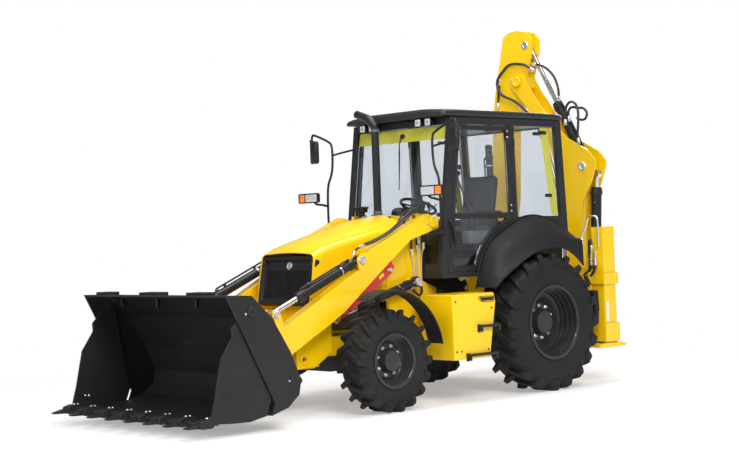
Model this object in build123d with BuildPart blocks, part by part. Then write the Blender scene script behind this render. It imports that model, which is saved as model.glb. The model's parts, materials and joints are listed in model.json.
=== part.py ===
import os
from math import atan2, cos, degrees, hypot, radians, sin

from build123d import *

os.makedirs("parts", exist_ok=True)

# Backhoe loader: X points forward, Y to the machine's left, Z up, and the ground is at z = 0.
# The origin is on the ground under the middle of the machine, from the loader's teeth to the hoe.

# Wheels and axles
rear_x, front_x = -1375, 825
rear_r, rear_w, rear_y = 702, 430, 897
front_r, front_w, front_y = 480, 316, 904
kingpin_y = 700
rear_bead_r, front_bead_r = 362, 240

# Frame
rail_y, rail_w = 300, 90
rail_z = (520, 700)
nose_y, nose_x = 450, (1080, 1515)
nose_z = (430, 1000)
tower_y = (415, 450)
hoe_frame_x = (-2500, -2440)
hoe_frame_y = 1030
rail_bar_z = (620, 1080)

# Loader: side view points are (x, z)
arm_y = (570, 680)
arm_pivot = (-90, 1758)
lift_rear, lift_front = (43, 1179), (1124, 885)
lift_y = (515, 565)
tilt_rear, tilt_front = (867, 1419), (1936, 969)
lever_pivot = (1830, 630)
bucket_pivot, bucket_link_pin = (1950, 470), (2050, 690)
bucket_y = 1110
clam_pivot = (2534, 1032)
bucket_plate = 16

# Cab
cab_y = 720
cab_floor_z, roof_z = 1200, (2800, 2895)

# Hoe, parked slewed to the machine's right: end view points are (y, z)
hoe_x = -2885
swing_y = 370
boom_foot, boom_tip = (140, 860), (-556, 3374)
boom_base_pin, boom_top_pin = (420, 1130), (480, 2250)
dipper_base_pin, dipper_rod_pin = (372, 2330), (-450, 3790)
dipper_tip = (-945, 1460)
rocker_pivot = (-985, 1690)
boom_w, dipper_w, hoe_bucket_w = 200, 300, 620


def side(y):
    """Plane at y whose sketch coordinates are (x, z); extruding goes towards -Y."""
    return Plane(origin=(0, y, 0), x_dir=(1, 0, 0), z_dir=(0, -1, 0))


def end(x):
    """Plane at x whose sketch coordinates are (y, z); extruding goes towards +X."""
    return Plane(origin=(x, 0, 0), x_dir=(0, 1, 0), z_dir=(1, 0, 0))


def top(z):
    """Plane at z whose sketch coordinates are (x, y); extruding goes up."""
    return Plane.XY.offset(z)


def plate(plane, outline, thick, mode=Mode.ADD, round_r=0):
    """A flat plate: the closed outline on the plane, thick along its normal."""
    with BuildSketch(plane) as face:
        with BuildLine():
            Polyline(*outline, close=True)
        make_face()
        if round_r:
            fillet(face.vertices(), round_r)
    extrude(face.sketch, amount=thick, mode=mode)


def side_plate(outline, y_a, y_b, mode=Mode.ADD, round_r=0):
    plate(side(max(y_a, y_b)), outline, abs(y_b - y_a), mode, round_r)


def end_plate(outline, x_a, x_b, mode=Mode.ADD, round_r=0):
    plate(end(min(x_a, x_b)), outline, abs(x_b - x_a), mode, round_r)


def top_plate(outline, z_a, z_b, mode=Mode.ADD, round_r=0):
    plate(top(min(z_a, z_b)), outline, abs(z_b - z_a), mode, round_r)


def rect(a, b, c, d):
    """Corners of a rectangle from a to b and from c to d."""
    return [(a, c), (b, c), (b, d), (a, d)]


def disc(plane, centre, r, thick, mode=Mode.ADD):
    with BuildSketch(plane) as face:
        with Locations(centre):
            Circle(r)
    extrude(face.sketch, amount=thick, mode=mode)


def pin_y(centre, r, y_a, y_b, mode=Mode.ADD):
    """A round pin or bore along Y at (x, z)."""
    disc(side(max(y_a, y_b)), centre, r, abs(y_b - y_a), mode)


def pin_x(centre, r, x_a, x_b, mode=Mode.ADD):
    """A round pin or bore along X at (y, z)."""
    disc(end(min(x_a, x_b)), centre, r, abs(x_b - x_a), mode)


def rod(p, q, r, mode=Mode.ADD):
    """A round bar from point p to point q."""
    run = Vector(*q) - Vector(*p)
    disc(Plane(origin=p, z_dir=run), (0, 0), r, run.length, mode)


def along(p, q, share):
    """The 2-D point at a share of the way from p to q."""
    return (p[0] + (q[0] - p[0]) * share, p[1] + (q[1] - p[1]) * share)


def toward(p, q, length):
    """The 2-D point at a length from p towards q."""
    return along(p, q, length / hypot(q[0] - p[0], q[1] - p[1]))


def bar(p, q, half, extra=0):
    """Corners of a straight bar from p to q, half wide each side, run on by extra."""
    a, b = toward(p, q, -extra), toward(q, p, -extra)
    turn = atan2(b[1] - a[1], b[0] - a[0])
    dx, dy = -sin(turn) * half, cos(turn) * half
    return [(a[0] + dx, a[1] + dy), (b[0] + dx, b[1] + dy), (b[0] - dx, b[1] - dy), (a[0] - dx, a[1] - dy)]


def band(path, thick):
    """Outline of a plate of even thickness that follows the path, on its left side."""
    inner = []
    for i, here in enumerate(path):
        turns = []
        for a, b in ((i - 1, i), (i, i + 1)):
            if a >= 0 and b < len(path):
                turns.append(atan2(path[b][1] - path[a][1], path[b][0] - path[a][0]))
        mean = atan2(sum(map(sin, turns)), sum(map(cos, turns)))
        reach = thick / cos(turns[0] - mean)
        inner.append((here[0] - sin(mean) * reach, here[1] + cos(mean) * reach))
    return list(path) + inner[::-1]


def arc_band(plane, centre, r_in, r_out, start, stop, thick, mode=Mode.ADD):
    """A curved strip between two radii, from the start angle to the stop angle."""
    with BuildSketch(plane) as face:
        with BuildLine():
            outer = CenterArc(centre, r_out, start, stop - start)
            inner = CenterArc(centre, r_in, start, stop - start)
            Line(outer @ 0, inner @ 0)
            Line(outer @ 1, inner @ 1)
        make_face()
    extrude(face.sketch, amount=thick, mode=mode)


def spin_y(profile, x, z):
    """Turns a closed profile of (y, radius) points about the Y axis through (x, z)."""
    with BuildSketch(Plane(origin=(x, 0, z), x_dir=(0, 1, 0), z_dir=(1, 0, 0))) as face:
        with BuildLine():
            Polyline(*profile, close=True)
        make_face()
    revolve(face.sketch, axis=Axis((x, 0, z), (0, 1, 0)), revolution_arc=360)


def save(piece, name):
    piece.part.label = name
    export_step(piece.part, f"parts/{name}.step")


# Chassis: two rails that rise over the rear axle, cross members, the nose and the loader's towers
rail = [
    (1090, 520), (1090, 700), (-900, 700), (-1080, 960), (-1670, 960), (-1850, 740),
    (-2440, 740), (-2440, 560), (-1900, 560), (-1680, 830), (-1070, 830), (-880, 520),
]
nose = [(1080, 560), (1300, 430), (1515, 430), (1515, 720), (1290, 1000), (1080, 1000)]
tower = [
    (-330, 620), (330, 620), (330, 1150), (240, 1400), (0, 1700), (-30, 1850), (-140, 1850), (-140, 1180), (-330, 1100),
]
axle_pin_z = 590
tie_down_r = 25
with BuildPart() as chassis:
    for s in (1, -1):
        side_plate(rail, s * rail_y, s * (rail_y + rail_w))
        side_plate(nose, s * (nose_y - 30), s * nose_y)
        pin_y((1420, 520), tie_down_r, s * (nose_y - 30), s * nose_y, Mode.SUBTRACT)
        side_plate(tower, s * tower_y[0], s * tower_y[1])
        side_plate(rect(-250, 250, 560, 700), s * (rail_y + rail_w), s * tower_y[1])
        pin_y(arm_pivot, 48, s * tower_y[1], s * (arm_y[1] + 6))
        pin_y(lift_rear, 32, s * tower_y[1], s * 580)
    for x, z in ((-2300, 650), (-1640, 895), (-700, 610), (40, 610)):
        side_plate(rect(x - 60, x + 60, z - 55, z + 55), -rail_y, rail_y)
    for x in (front_x - 180, front_x + 130):
        end_plate(rect(-rail_y, rail_y, 520, 700), x, x + 50)
        pin_x((0, axle_pin_z), 45.1, x, x + 50, Mode.SUBTRACT)
    end_plate(rect(-nose_y, nose_y, 430, 700), 1485, 1515)
    top_plate(rect(1080, 1500, -nose_y, nose_y), 700, 730)
    end_plate(rect(-nose_y, nose_y, 560, 1000), 1080, 1110)
save(chassis, "chassis_frame")

# Engine, gearbox and the shaft to the rear axle, which show from below
with BuildPart() as powertrain:
    top_plate(rect(180, 980, -260, 260), 760, 1420)
    side_plate([(-640, 740), (-60, 740), (60, 860), (180, 860), (180, 1100), (-640, 1060)], -230, 230)
    rod((-1150, 0, 700), (-600, 0, 820), 45)
save(powertrain, "powertrain")

# Front axle: a beam hung on a centre pin, with yokes for the steering knuckles
axle_beam = [
    (-640, 400), (-200, 350), (200, 350), (640, 400), (640, 500), (200, 510), (-200, 510), (-640, 500),
]
with BuildPart() as front_axle:
    end_plate(axle_beam, front_x - 70, front_x + 70)
    for s in (1, -1):
        for z in (350, 575):
            top_plate(rect(front_x - 55, front_x + 55, s * 600, s * 738), z, z + 35)
        end_plate(rect(s * 600, s * 640, 350, 610), front_x - 55, front_x + 55)
    pin_x((0, axle_pin_z), 72, front_x - 122, front_x + 122)
    end_plate(rect(-90, 90, 500, axle_pin_z), front_x - 70, front_x + 70)
    pin_x((0, axle_pin_z), 45, front_x - 185, front_x + 185)
save(front_axle, "front_axle")

with BuildPart() as rear_axle:
    pin_y((rear_x, rear_r), 110, -600, 600)
    with Locations((rear_x, 0, rear_r)):
        Sphere(210)
    for s in (1, -1):
        pin_y((rear_x, rear_r), 170, s * 560, s * 690)
        pin_y((rear_x, rear_r), 100, s * 690, s * 860)
save(rear_axle, "rear_axle")


def steering_knuckle(s):
    with BuildPart() as piece:
        with Locations((front_x, s * kingpin_y, 480)):
            Cylinder(45, 180)
        pin_y((front_x, 480), 85, s * kingpin_y, s * 770)
        pin_y((front_x, 480), 120, s * 770, s * 880)
        # Post and arm that carry the fender
        side_plate(rect(front_x - 120, front_x - 60, 450, 510), s * 705, s * 728)
        side_plate(rect(front_x - 120, front_x - 84, 480, 1112), s * 705, s * 728)
        side_plate(rect(front_x - 120, front_x - 84, 1092, 1112), s * 728, s * 1040)
    return piece


def front_fender(s):
    with BuildPart() as piece:
        arc_band(side(max(s * 838, s * 1050)), (front_x, 480), 650, 658, 62, 170, 212)
        # The inner front corner is cut back so that it passes the loader's arm at full lock
        top_plate([(940, s * 830), (1200, s * 830), (1200, s * 890)], 900, 1200, Mode.SUBTRACT)
    return piece


def wheel_rim(x, z, y, s, bead_r, half_w, disc_t, cap_r, cap_t, stud_r, studs):
    """A pressed rim: t runs outwards from the middle of the tyre."""
    inside = bead_r - 12
    flange = bead_r + 22
    section = [
        (-half_w, flange), (-half_w - 12, flange), (-half_w - 12, inside), (disc_t - 8, inside - 20),
        (disc_t - 8, 60), (disc_t + 8, 60), (disc_t + 8, inside - 20), (half_w + 12, inside),
        (half_w + 12, flange), (half_w, flange), (half_w, bead_r), (-half_w, bead_r),
    ]
    with BuildPart() as piece:
        spin_y([(y + s * t, r) for t, r in section], x, z)
        pin_y((x, z), cap_r, y + s * (disc_t - 8), y + s * cap_t)
        for k in range(studs):
            turn = radians(360 * k / studs)
            centre = (x + stud_r * cos(turn), z + stud_r * sin(turn))
            pin_y(centre, 13, y + s * (disc_t + 8), y + s * (disc_t + 34))
    return piece


def tyre(x, y, r, w, bead_r):
    half = w / 2
    section = [
        (half - 24, bead_r), (half - 24, bead_r + 26), (half - 4, bead_r + 60), (half, (bead_r + r) / 2), (half - 6, r - 40),
        (half - 30, r), (30 - half, r), (6 - half, r - 40), (-half, (bead_r + r) / 2),
        (4 - half, bead_r + 60), (24 - half, bead_r + 26), (24 - half, bead_r),
    ]
    with BuildPart() as piece:
        spin_y([(y + t, radius) for t, radius in section], x, r)
    return piece


for name, s in (("left", 1), ("right", -1)):
    save(steering_knuckle(s), f"steering_knuckle_{name}")
    save(front_fender(s), f"front_fender_{name}")
    save(wheel_rim(front_x, front_r, s * front_y, s, front_bead_r, 134, 20, 100, 108, 137, 8), f"front_rim_{name}")
    save(wheel_rim(rear_x, rear_r, s * rear_y, s, rear_bead_r, 191, -20, 120, 70, 167, 10), f"rear_rim_{name}")
    save(tyre(front_x, s * front_y, front_r, front_w, front_bead_r), f"front_tyre_{name}")
    save(tyre(rear_x, s * rear_y, rear_r, rear_w, rear_bead_r), f"rear_tyre_{name}")

# Step boxes between the wheels: tank on the left, battery box on the right
with BuildPart() as boxes:
    for s in (1, -1):
        side_plate([(80, 420), (80, 1050), (-500, 1050), (-520, 960), (-420, 420)], s * 640, s * 1080)
        for x_a, x_b, z in ((-300, -530, 740), (-120, -480, 470)):
            top_plate(rect(x_a, x_b, s * 1080, s * 1135), z - 30, z)
        side_plate(rect(-430, -345, 600, 690), s * (rail_y + rail_w), s * 640)
save(boxes, "step_boxes")

# Grille and hood share the sloping front plane; the hood is a shell open below, hinged at its rear
front_slope = Plane(origin=(1290, 0, 1000), x_dir=(0, 1, 0), z_dir=(0.983, 0, 0.184))
with BuildPart() as grille:
    with BuildSketch(front_slope) as face:
        with BuildLine():
            Polyline((-382, 5), (382, 5), (372, 490), (-372, 490), close=True)
        make_face()
    extrude(face.sketch, amount=-60)
save(grille, "grille")

hood_rear, hood_hinge = 5, (18, 1820)
hood_sections = (
    (front_slope.offset(-66), 396, 24, 440, 530),
    (end(750), 402, 1000, 1596, 1705),
    (end(400), 404, 1000, 1682, 1797),
    (end(hood_rear), 400, 1000, 1735, 1850),
)
with BuildPart() as hood:
    for grow, mode in ((0, Mode.ADD), (-8, Mode.SUBTRACT)):
        faces = []
        for plane, half, low, shoulder, high in hood_sections:
            a = half + grow
            with BuildSketch(plane) as cut:
                with BuildLine():
                    Polyline(
                        (-a, low + grow * 4), (a, low + grow * 4), (a, shoulder + grow), (a - 70, high - 30 + grow),
                        (0, high + grow), (70 - a, high - 30 + grow), (-a, shoulder + grow), close=True,
                    )
                make_face()
            faces.append(cut.sketch)
        loft(faces, ruled=True, mode=mode)
    # Hinge barrels inside the rear edge
    for s in (1, -1):
        pin_y(hood_hinge, 12, s * 120, s * 190)
save(hood, "hood")

# Cowl between the hood and the windscreen, with the stack and the air cleaner's cap on it
with BuildPart() as cowl:
    end_plate([(-400, 1300), (400, 1300), (400, 1735), (330, 1820), (0, 1850), (-330, 1820), (-400, 1735)], -130, -20)
save(cowl, "cowl")

stack_y = -95
with BuildPart() as stack:
    rod((-72, stack_y, 1850), (-72, stack_y, 2760), 40)
    rod((-72, stack_y, 2745), (-60, stack_y - 110, 2860), 40)
    rod((-60, stack_y - 105, 2850), (-50, stack_y - 250, 2900), 40)
save(stack, "exhaust_stack")

with BuildPart() as cleaner:
    with Locations((-60, -330, 1870)):
        Cylinder(34, 70)
    with Locations((-60, -330, 1915)):
        Cylinder(78, 70)
save(cleaner, "air_precleaner")

# Doors: (x, z) outline with the edge over the wheel first, then clockwise from the hinge's foot
door_edge = [
    (-655, 1256), (-690, 1365), (-762, 1470), (-906, 1599), (-1120, 1707),
    (-1225, 1754), (-1193, 2722), (-420, 2722), (-242, 1256),
]
upper_pane = [(-362, 1832), (-462, 2680), (-1150, 2680), (-1178, 1832)]
lower_pane = [(-305, 1310), (-360, 1786), (-1130, 1786), (-1075, 1740), (-890, 1652), (-735, 1512), (-668, 1400), (-640, 1310)]
door_hinge_x, door_hinge_y = -1245, 738


def door_shape(y, thick, inset, mode=Mode.ADD):
    """The door's outline with its curved edge over the wheel, moved inwards by the inset."""
    with BuildSketch(side(y)) as face:
        with BuildLine():
            Polyline(*door_edge[5:], *door_edge[:1])
            ThreePointArc(*door_edge[0:3])
            ThreePointArc(*door_edge[2:5])
            Line(door_edge[4], door_edge[5])
        make_face()
        if inset:
            offset(amount=-inset, mode=Mode.REPLACE)
    extrude(face.sketch, amount=thick, mode=mode)


# Cab: a welded frame with its openings cut, hollow inside
cab_outer = [(-150, 1200), (-150, 1283), (-345, 2800), (-2010, 2800), (-2080, 1620), (-1375, 1620), (-690, 1200)]
cab_inner = [(-210, 1240), (-225, 1300), (-405, 2740), (-1950, 2740), (-2020, 1670), (-1375, 1670), (-740, 1240)]
well_y = 650
with BuildPart() as cab:
    side_plate(cab_outer, -cab_y, cab_y)
    side_plate([(-700, 1200), (-1375, 1700), (-2080, 1700), (-2040, 1200)], -well_y, well_y)
    side_plate(cab_inner, 50 - cab_y, cab_y - 50, Mode.SUBTRACT)
    side_plate([(-700, 1240), (-1375, 1740), (-2030, 1740), (-1990, 1240)], 14 - well_y, well_y - 14, Mode.SUBTRACT)
    # Door openings, quarter windows, windscreen and rear window
    door_shape(cab_y, 2 * cab_y, -7, Mode.SUBTRACT)
    side_plate([(-1290, 1790), (-1270, 2730), (-1925, 2730), (-1975, 1790)], -cab_y, cab_y, Mode.SUBTRACT)
    end_plate(rect(60 - cab_y, cab_y - 60, 1340, 2730), -500, 0, Mode.SUBTRACT)
    end_plate(rect(60 - cab_y, cab_y - 60, 1760, 2730), -2200, -1800, Mode.SUBTRACT)
save(cab, "cab_frame")

# Fixed panes in the middle of the frame's wall
with BuildPart() as panes:
    side_plate([(-190, 1345), (-370, 2725), (-378, 2725), (-198, 1345)], 65 - cab_y, cab_y - 65)
    side_plate([(-2040, 1765), (-1982, 2725), (-1990, 2725), (-2048, 1765)], 65 - cab_y, cab_y - 65)
    for s in (1, -1):
        quarter = [(-1294, 1793), (-1274, 2727), (-1922, 2727), (-1971, 1793)]
        side_plate(quarter, s * (cab_y - 30), s * (cab_y - 22))
save(panes, "cab_glass")

with BuildPart() as roof:
    side_plate([(-230, 2810), (-345, 2805), (-2040, 2805), (-2060, 2830), (-2040, 2875), (-1800, 2900), (-500, 2905), (-290, 2870)], -cab_y - 20, cab_y + 20)
save(roof, "cab_roof")

# Rear fenders: a skin that falls from the line along the door to the wheel arch
fender_lines = (
    (735, ((-600, 1095), (-672, 1262), (-770, 1455), (-914, 1583), (-1130, 1692), (-1382, 1790), (-1600, 1790),
           (-1912, 1709), (-2090, 1600))),
    (890, ((-586, 1094), (-664, 1236), (-800, 1400), (-985, 1524), (-1200, 1610), (-1435, 1672), (-1640, 1672),
           (-1856, 1612), (-2015, 1550))),
    (1015, ((-566, 1092), (-705, 1208), (-890, 1318), (-1085, 1416), (-1285, 1480), (-1483, 1512), (-1655, 1526),
            (-1800, 1530), (-1955, 1520))),
    (1040, ((-561, 1090), (-712, 1192), (-902, 1296), (-1094, 1390), (-1288, 1448), (-1483, 1466), (-1640, 1450),
            (-1790, 1376), (-1935, 1262))),
)
with BuildPart() as fenders:
    for s in (1, -1):
        faces = []
        for y, line in fender_lines:
            outline = band(line, 14)
            with BuildSketch(side(s * y)) as cut:
                with BuildLine():
                    for k in (0, 2, 4, 6, 9, 11, 13, 15):
                        ThreePointArc(*outline[k:k + 3])
                    Line(outline[8], outline[9])
                    Line(outline[17], outline[0])
                make_face()
            faces.append(cut.sketch)
        loft(faces, ruled=True)
save(fenders, "rear_fenders")

with BuildPart() as seat:
    top_plate(rect(-1430, -930, -250, 250), 1560, 1690)
    side_plate([(-1480, 1600), (-1360, 1600), (-1440, 2250), (-1530, 2250)], -240, 240)
    top_plate(rect(-1340, -1030, -170, 170), 1245, 1560)
save(seat, "operator_seat")

with BuildPart() as console:
    side_plate([(-240, 1245), (-520, 1245), (-500, 1500), (-430, 1800), (-290, 1860)], -180, 180)
save(console, "control_console")


def cab_door(s):
    with BuildPart() as piece:
        door_shape(max(s * (cab_y - 40), s * cab_y), 40, 0)
        for hole in (upper_pane, lower_pane):
            side_plate(hole, s * (cab_y - 40), s * cab_y, Mode.SUBTRACT)
        # Hinge barrels on leaves that stand out from the door's rear edge
        for z in (1950, 2520):
            for x, y in ((door_hinge_x + 45, cab_y - 1), (door_hinge_x - 3, cab_y + 6)):
                top_plate(rect(x, door_hinge_x + 90, s * y, s * (cab_y + 11)), z, z + 70)
            with Locations((door_hinge_x, s * door_hinge_y, z + 35)):
                Cylinder(10, 70)
    return piece


def door_glass(s):
    with BuildPart() as piece:
        for hole in (upper_pane, lower_pane):
            with BuildSketch(side(max(s * (cab_y - 24), s * (cab_y - 16)))) as face:
                with BuildLine():
                    Polyline(*hole, close=True)
                make_face()
                offset(amount=-3, mode=Mode.REPLACE)
            extrude(face.sketch, amount=8)
    return piece


for name, s in (("left", 1), ("right", -1)):
    save(cab_door(s), f"door_{name}")
    save(door_glass(s), f"door_glass_{name}")

# Tubes that carry the mirrors and the front lamps, standing on brackets at the screen's foot
lamp_x, lamp_z = 125, 2060
with BuildPart() as mirrors:
    for s in (1, -1):
        rod((-100, s * 760, 1500), (-100, s * 760, 2330), 14)
        side_plate(rect(-160, -90, 1500, 1540), s * 715, s * 765)
        rod((-100, s * 755, 2330), (-30, s * 860, 2560), 14)
        rod((-100, s * 755, lamp_z - 60), (lamp_x - 10, s * 890, lamp_z - 60), 14)
        rod((lamp_x - 10, s * 890, lamp_z - 75), (lamp_x - 10, s * 890, lamp_z - 45), 14)
        side_plate(rect(-60, 0, 2420, 2660), s * 855, s * 1010)
save(mirrors, "mirror_arms")

with BuildPart() as lamps:
    for s in (1, -1):
        top_plate(rect(lamp_x - 55, lamp_x + 35, s * 820, s * 985), lamp_z - 45, lamp_z + 45)
        for y in (330, 560):
            top_plate(rect(-290, -230, s * y, s * (y + 110)), 2700, 2770)
save(lamps, "lamps")

# Loader arms: two welded boxes joined by a cross tube
arm_outline = [
    (-170, 1790), (-20, 1840), (100, 1790), (770, 1505), (800, 1345), (880, 1335), (960, 1303), (1849, 838), (1900, 780), (2005, 520), (1990, 415),
    (1905, 410), (1745, 604), (1293, 836), (1103, 944), (508, 1387), (219, 1590), (-60, 1670), (-160, 1700),
]
with BuildPart() as arms:
    for s in (1, -1):
        side_plate(arm_outline, s * arm_y[0], s * arm_y[1])
        for y_a, y_b in ((arm_y[0], 590), (660, arm_y[1])):
            ear = [(760, 1500), (867, 1480), (915, 1440), (918, 1390), (900, 1325), (790, 1335)]
            side_plate(ear, s * y_a, s * y_b)
        pin_y(arm_pivot, 48.1, s * arm_y[0], s * arm_y[1], Mode.SUBTRACT)
        pin_y(lever_pivot, 25.1, s * arm_y[0], s * arm_y[1], Mode.SUBTRACT)
        pin_y(bucket_pivot, 28.1, s * arm_y[0], s * arm_y[1], Mode.SUBTRACT)
        # Ears under the arm for the lift cylinder
        for y_a, y_b in ((490, 508), (arm_y[0], 590)):
            ear = [(1040, 1080), (1080, 860), (1124, 835), (1168, 860), (1210, 1000)]
            side_plate(ear, s * y_a, s * y_b)
        side_plate([(1050, 1000), (1060, 1060), (1200, 1000), (1190, 950)], s * 490, s * arm_y[0])
    pin_y((1700, 720), 55, -arm_y[0], arm_y[0])
save(arms, "loader_arms")

with BuildPart() as strut:
    side_plate(bar((430, 1330), (1085, 905), 30, 0), 590, 628)
    side_plate(bar((480, 1298), (1040, 934), 22, 0), 600, 628, Mode.SUBTRACT)
save(strut, "safety_strut")


with BuildPart() as lift_barrels:
    for s in (1, -1):
        y = s * sum(lift_y) / 2
        p, q = lift_rear, lift_front
        pin_y(p, 52, s * lift_y[0], s * lift_y[1])
        a, b = toward(p, q, 50), toward(p, q, 800)
        rod((a[0], y, a[1]), (b[0], y, b[1]), 42)
        c = toward(p, q, 100)
        rod((c[0], y, c[1]), (b[0], y, b[1]), 27.5, Mode.SUBTRACT)
        pin_y(p, 33, s * lift_y[0], s * lift_y[1], Mode.SUBTRACT)
save(lift_barrels, "lift_barrels")

with BuildPart() as lift_rods:
    for s in (1, -1):
        y = s * sum(lift_y) / 2
        p, q = lift_rear, lift_front
        a, b = toward(p, q, 110), toward(q, p, 30)
        rod((a[0], y, a[1]), (b[0], y, b[1]), 26)
        pin_y(q, 45, s * lift_y[0], s * lift_y[1])
save(lift_rods, "lift_rods")

tilt_y = (600, 650)
with BuildPart() as tilt_barrels:
    for s in (1, -1):
        y = s * sum(tilt_y) / 2
        p, q = tilt_rear, tilt_front
        a, b, c = toward(p, q, 90), toward(p, q, 820), toward(p, q, 190)
        rod((p[0], y, p[1]), (b[0], y, b[1]), 24)
        rod((a[0], y, a[1]), (b[0], y, b[1]), 44)
        rod((c[0], y, c[1]), (b[0], y, b[1]), 27.5, Mode.SUBTRACT)
        pin_y(p, 45, s * tilt_y[0], s * tilt_y[1])
save(tilt_barrels, "tilt_barrels")

with BuildPart() as tilt_rods:
    for s in (1, -1):
        y = s * sum(tilt_y) / 2
        p, q = tilt_rear, tilt_front
        a, b = toward(p, q, 375), toward(q, p, 30)
        rod((a[0], y, a[1]), (b[0], y, b[1]), 26)
        pin_y(q, 42, s * tilt_y[0], s * tilt_y[1])
save(tilt_rods, "tilt_rods")

with BuildPart() as levers:
    for s in (1, -1):
        for y_a, y_b in ((544, 562), (688, 706)):
            side_plate(bar(lever_pivot, tilt_front, 42, 40), s * y_a, s * y_b, round_r=30)
        pin_y(lever_pivot, 25, s * 544, s * 706)
        for y_a, y_b in ((500, 590), (660, 706)):
            pin_y(tilt_front, 22, s * y_a, s * y_b)
save(levers, "tilt_levers")

with BuildPart() as links:
    for s in (1, -1):
        side_plate(bar(tilt_front, bucket_link_pin, 34, 30), s * 505, s * 535, round_r=28)
        pin_y(tilt_front, 22.1, s * 505, s * 535, Mode.SUBTRACT)
save(links, "bucket_links")

# Loader bucket: the fixed back with its side plates, and the clam that opens at the front
back_edge = [(2350, 136), (2165, 188), (2039, 290), (2014, 417), (2049, 499), (2124, 671), (2227, 835), (2313, 970), (2425, 1075), (2527, 1172), (2798, 1183)]
with BuildPart() as back:
    side_plate(band(back_edge, -14), 14 - bucket_y, bucket_y - 14)
    side_plate(rect(2450, 2800, 1000, 1190), 1066, bucket_y - 14, Mode.SUBTRACT)
    side_plate(rect(2450, 2800, 1000, 1190), -1066, 14 - bucket_y, Mode.SUBTRACT)
    for s in (1, -1):
        side_plate(back_edge + [(2309, 238)], s * (bucket_y - 14), s * bucket_y)
        pin_y(clam_pivot, 45, s * (bucket_y - 36), s * (bucket_y - 14))
        # Ears for the arm's tip and for the link
        for y_a, y_b in ((540, 562), (688, 710)):
            side_plate([(1925, 520), (1990, 540), (2092, 600), (2030, 400), (1925, 420)], s * y_a, s * y_b)
            pin_y(bucket_pivot, 56, s * y_a, s * y_b)
        side_plate([(2030, 715), (2160, 745), (2120, 650), (2030, 665)], s * 470, s * 497)
        pin_y(bucket_link_pin, 34, s * 470, s * 497)
        pin_y(bucket_pivot, 28, s * 540, s * 710)
save(back, "loader_bucket")

clam_floor = [(2378, 140), (2575, 104), (2776, 112), (2989, 128)]
teeth = 8
with BuildPart() as clam:
    side_plate(band(clam_floor, 16), -1088, 1088)
    end_plate(rect(-1088, 1088, 112, 140), 2900, 3010)
    for s in (1, -1):
        side_plate(
            [(2386, 150), (2340, 260), (2480, 1030), (2534, 1086), (2590, 1050), (2732, 912), (2728, 835), (2855, 658), (2929, 335), (2989, 135), (2776, 112), (2575, 104)],
            s * 1074,
            s * 1088,
        )
        pin_y(clam_pivot, 45.5, s * 1074, s * 1088, Mode.SUBTRACT)
    for k in range(teeth):
        y = -1040 + 2080 * k / (teeth - 1)
        side_plate([(2940, 100), (2940, 155), (3020, 158), (3205, 118), (3205, 106), (3020, 100)], y - 32, y + 32)
save(clam, "bucket_clam")

# Hoe frame across the rear: slide rails, end posts and the collars that guide the legs
leg_x, leg_y = (-2398, -2206), (930, 1080)
with BuildPart() as hoe_frame:
    for z_a, z_b in ((620, 700), (1000, 1080)):
        end_plate(rect(-hoe_frame_y + 130, hoe_frame_y - 130, z_a, z_b), *hoe_frame_x)
    for s in (1, -1):
        end_plate(rect(s * 780, s * 900, 560, 1140), *hoe_frame_x)
        end_plate(rect(s * 660, s * 740, 480, 640), *hoe_frame_x)
        pin_x((s * 700, 520), tie_down_r, *hoe_frame_x, Mode.SUBTRACT)
        side_plate(rect(-2500, -2180, 460, 1180), s * 890, s * 915)
        side_plate(rect(-2440, -2300, 560, 1080), s * (rail_y + rail_w), s * (rail_y + rail_w + 25))
        for z_a, z_b in ((440, 633), (1045, 1167)):
            top_plate(rect(leg_x[0] - 22, leg_x[1] + 22, s * 915, s * 1102), z_a, z_b)
            top_plate(rect(leg_x[0] - 6, leg_x[1] + 6, s * 924, s * 1086), z_a, z_b, Mode.SUBTRACT)
save(hoe_frame, "hoe_frame")

for name, s in (("left", 1), ("right", -1)):
    with BuildPart() as leg:
        top_plate(rect(*leg_x, s * leg_y[0], s * leg_y[1]), 424, 1655)
        top_plate(rect(leg_x[0] + 12, leg_x[1] - 12, s * (leg_y[0] + 12), s * (leg_y[1] - 12)), 460, 1655, Mode.SUBTRACT)
        side_plate([(-2514, 402), (-2490, 378), (-2090, 378), (-2060, 402), (-2150, 424), (-2440, 424)], s * 905, s * 1105)
    save(leg, f"stabiliser_leg_{name}")

# Carriage that slides along the frame's rails, with the lugs of the swing pin
with BuildPart() as carriage:
    end_plate(rect(swing_y - 250, swing_y + 250, 560, 1140), -2600, -2506)
    for z_a, z_b in ((470, 530), (955, 1025)):
        top_plate(rect(-2600, hoe_x, swing_y - 75, swing_y + 75), z_a, z_b)
        with Locations((hoe_x, swing_y, (z_a + z_b) / 2)):
            Cylinder(75, z_b - z_a)
            Cylinder(40.1, z_b - z_a, mode=Mode.SUBTRACT)
    end_plate(rect(swing_y - 75, swing_y + 75, 470, 600), -2600, -2540)
save(carriage, "hoe_carriage")

hoe_low, hoe_high = hoe_x - boom_w / 2, hoe_x + boom_w / 2
with BuildPart() as kingpost:
    cheek = [
        (60, 790), (60, 920), (140, 950), (230, 1060), (330, 1200), (430, 1215), (500, 1150), (500, 1085), (450, 1042),
        (278, 1042), (278, 938), (445, 938), (445, 548), (300, 548), (200, 640),
    ]
    end_plate(cheek, hoe_high + 8, hoe_high + 38)
    end_plate(cheek, hoe_low - 38, hoe_low - 8)
    end_plate(rect(300, 440, 550, 930), hoe_low - 8, hoe_high + 8)
    with Locations((hoe_x, swing_y, 545)):
        Cylinder(40, 150)
    with Locations((hoe_x, swing_y, 970)):
        Cylinder(40, 108)
    pin_x(boom_foot, 45, hoe_low - 50, hoe_high + 50)
save(kingpost, "kingpost")

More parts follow.
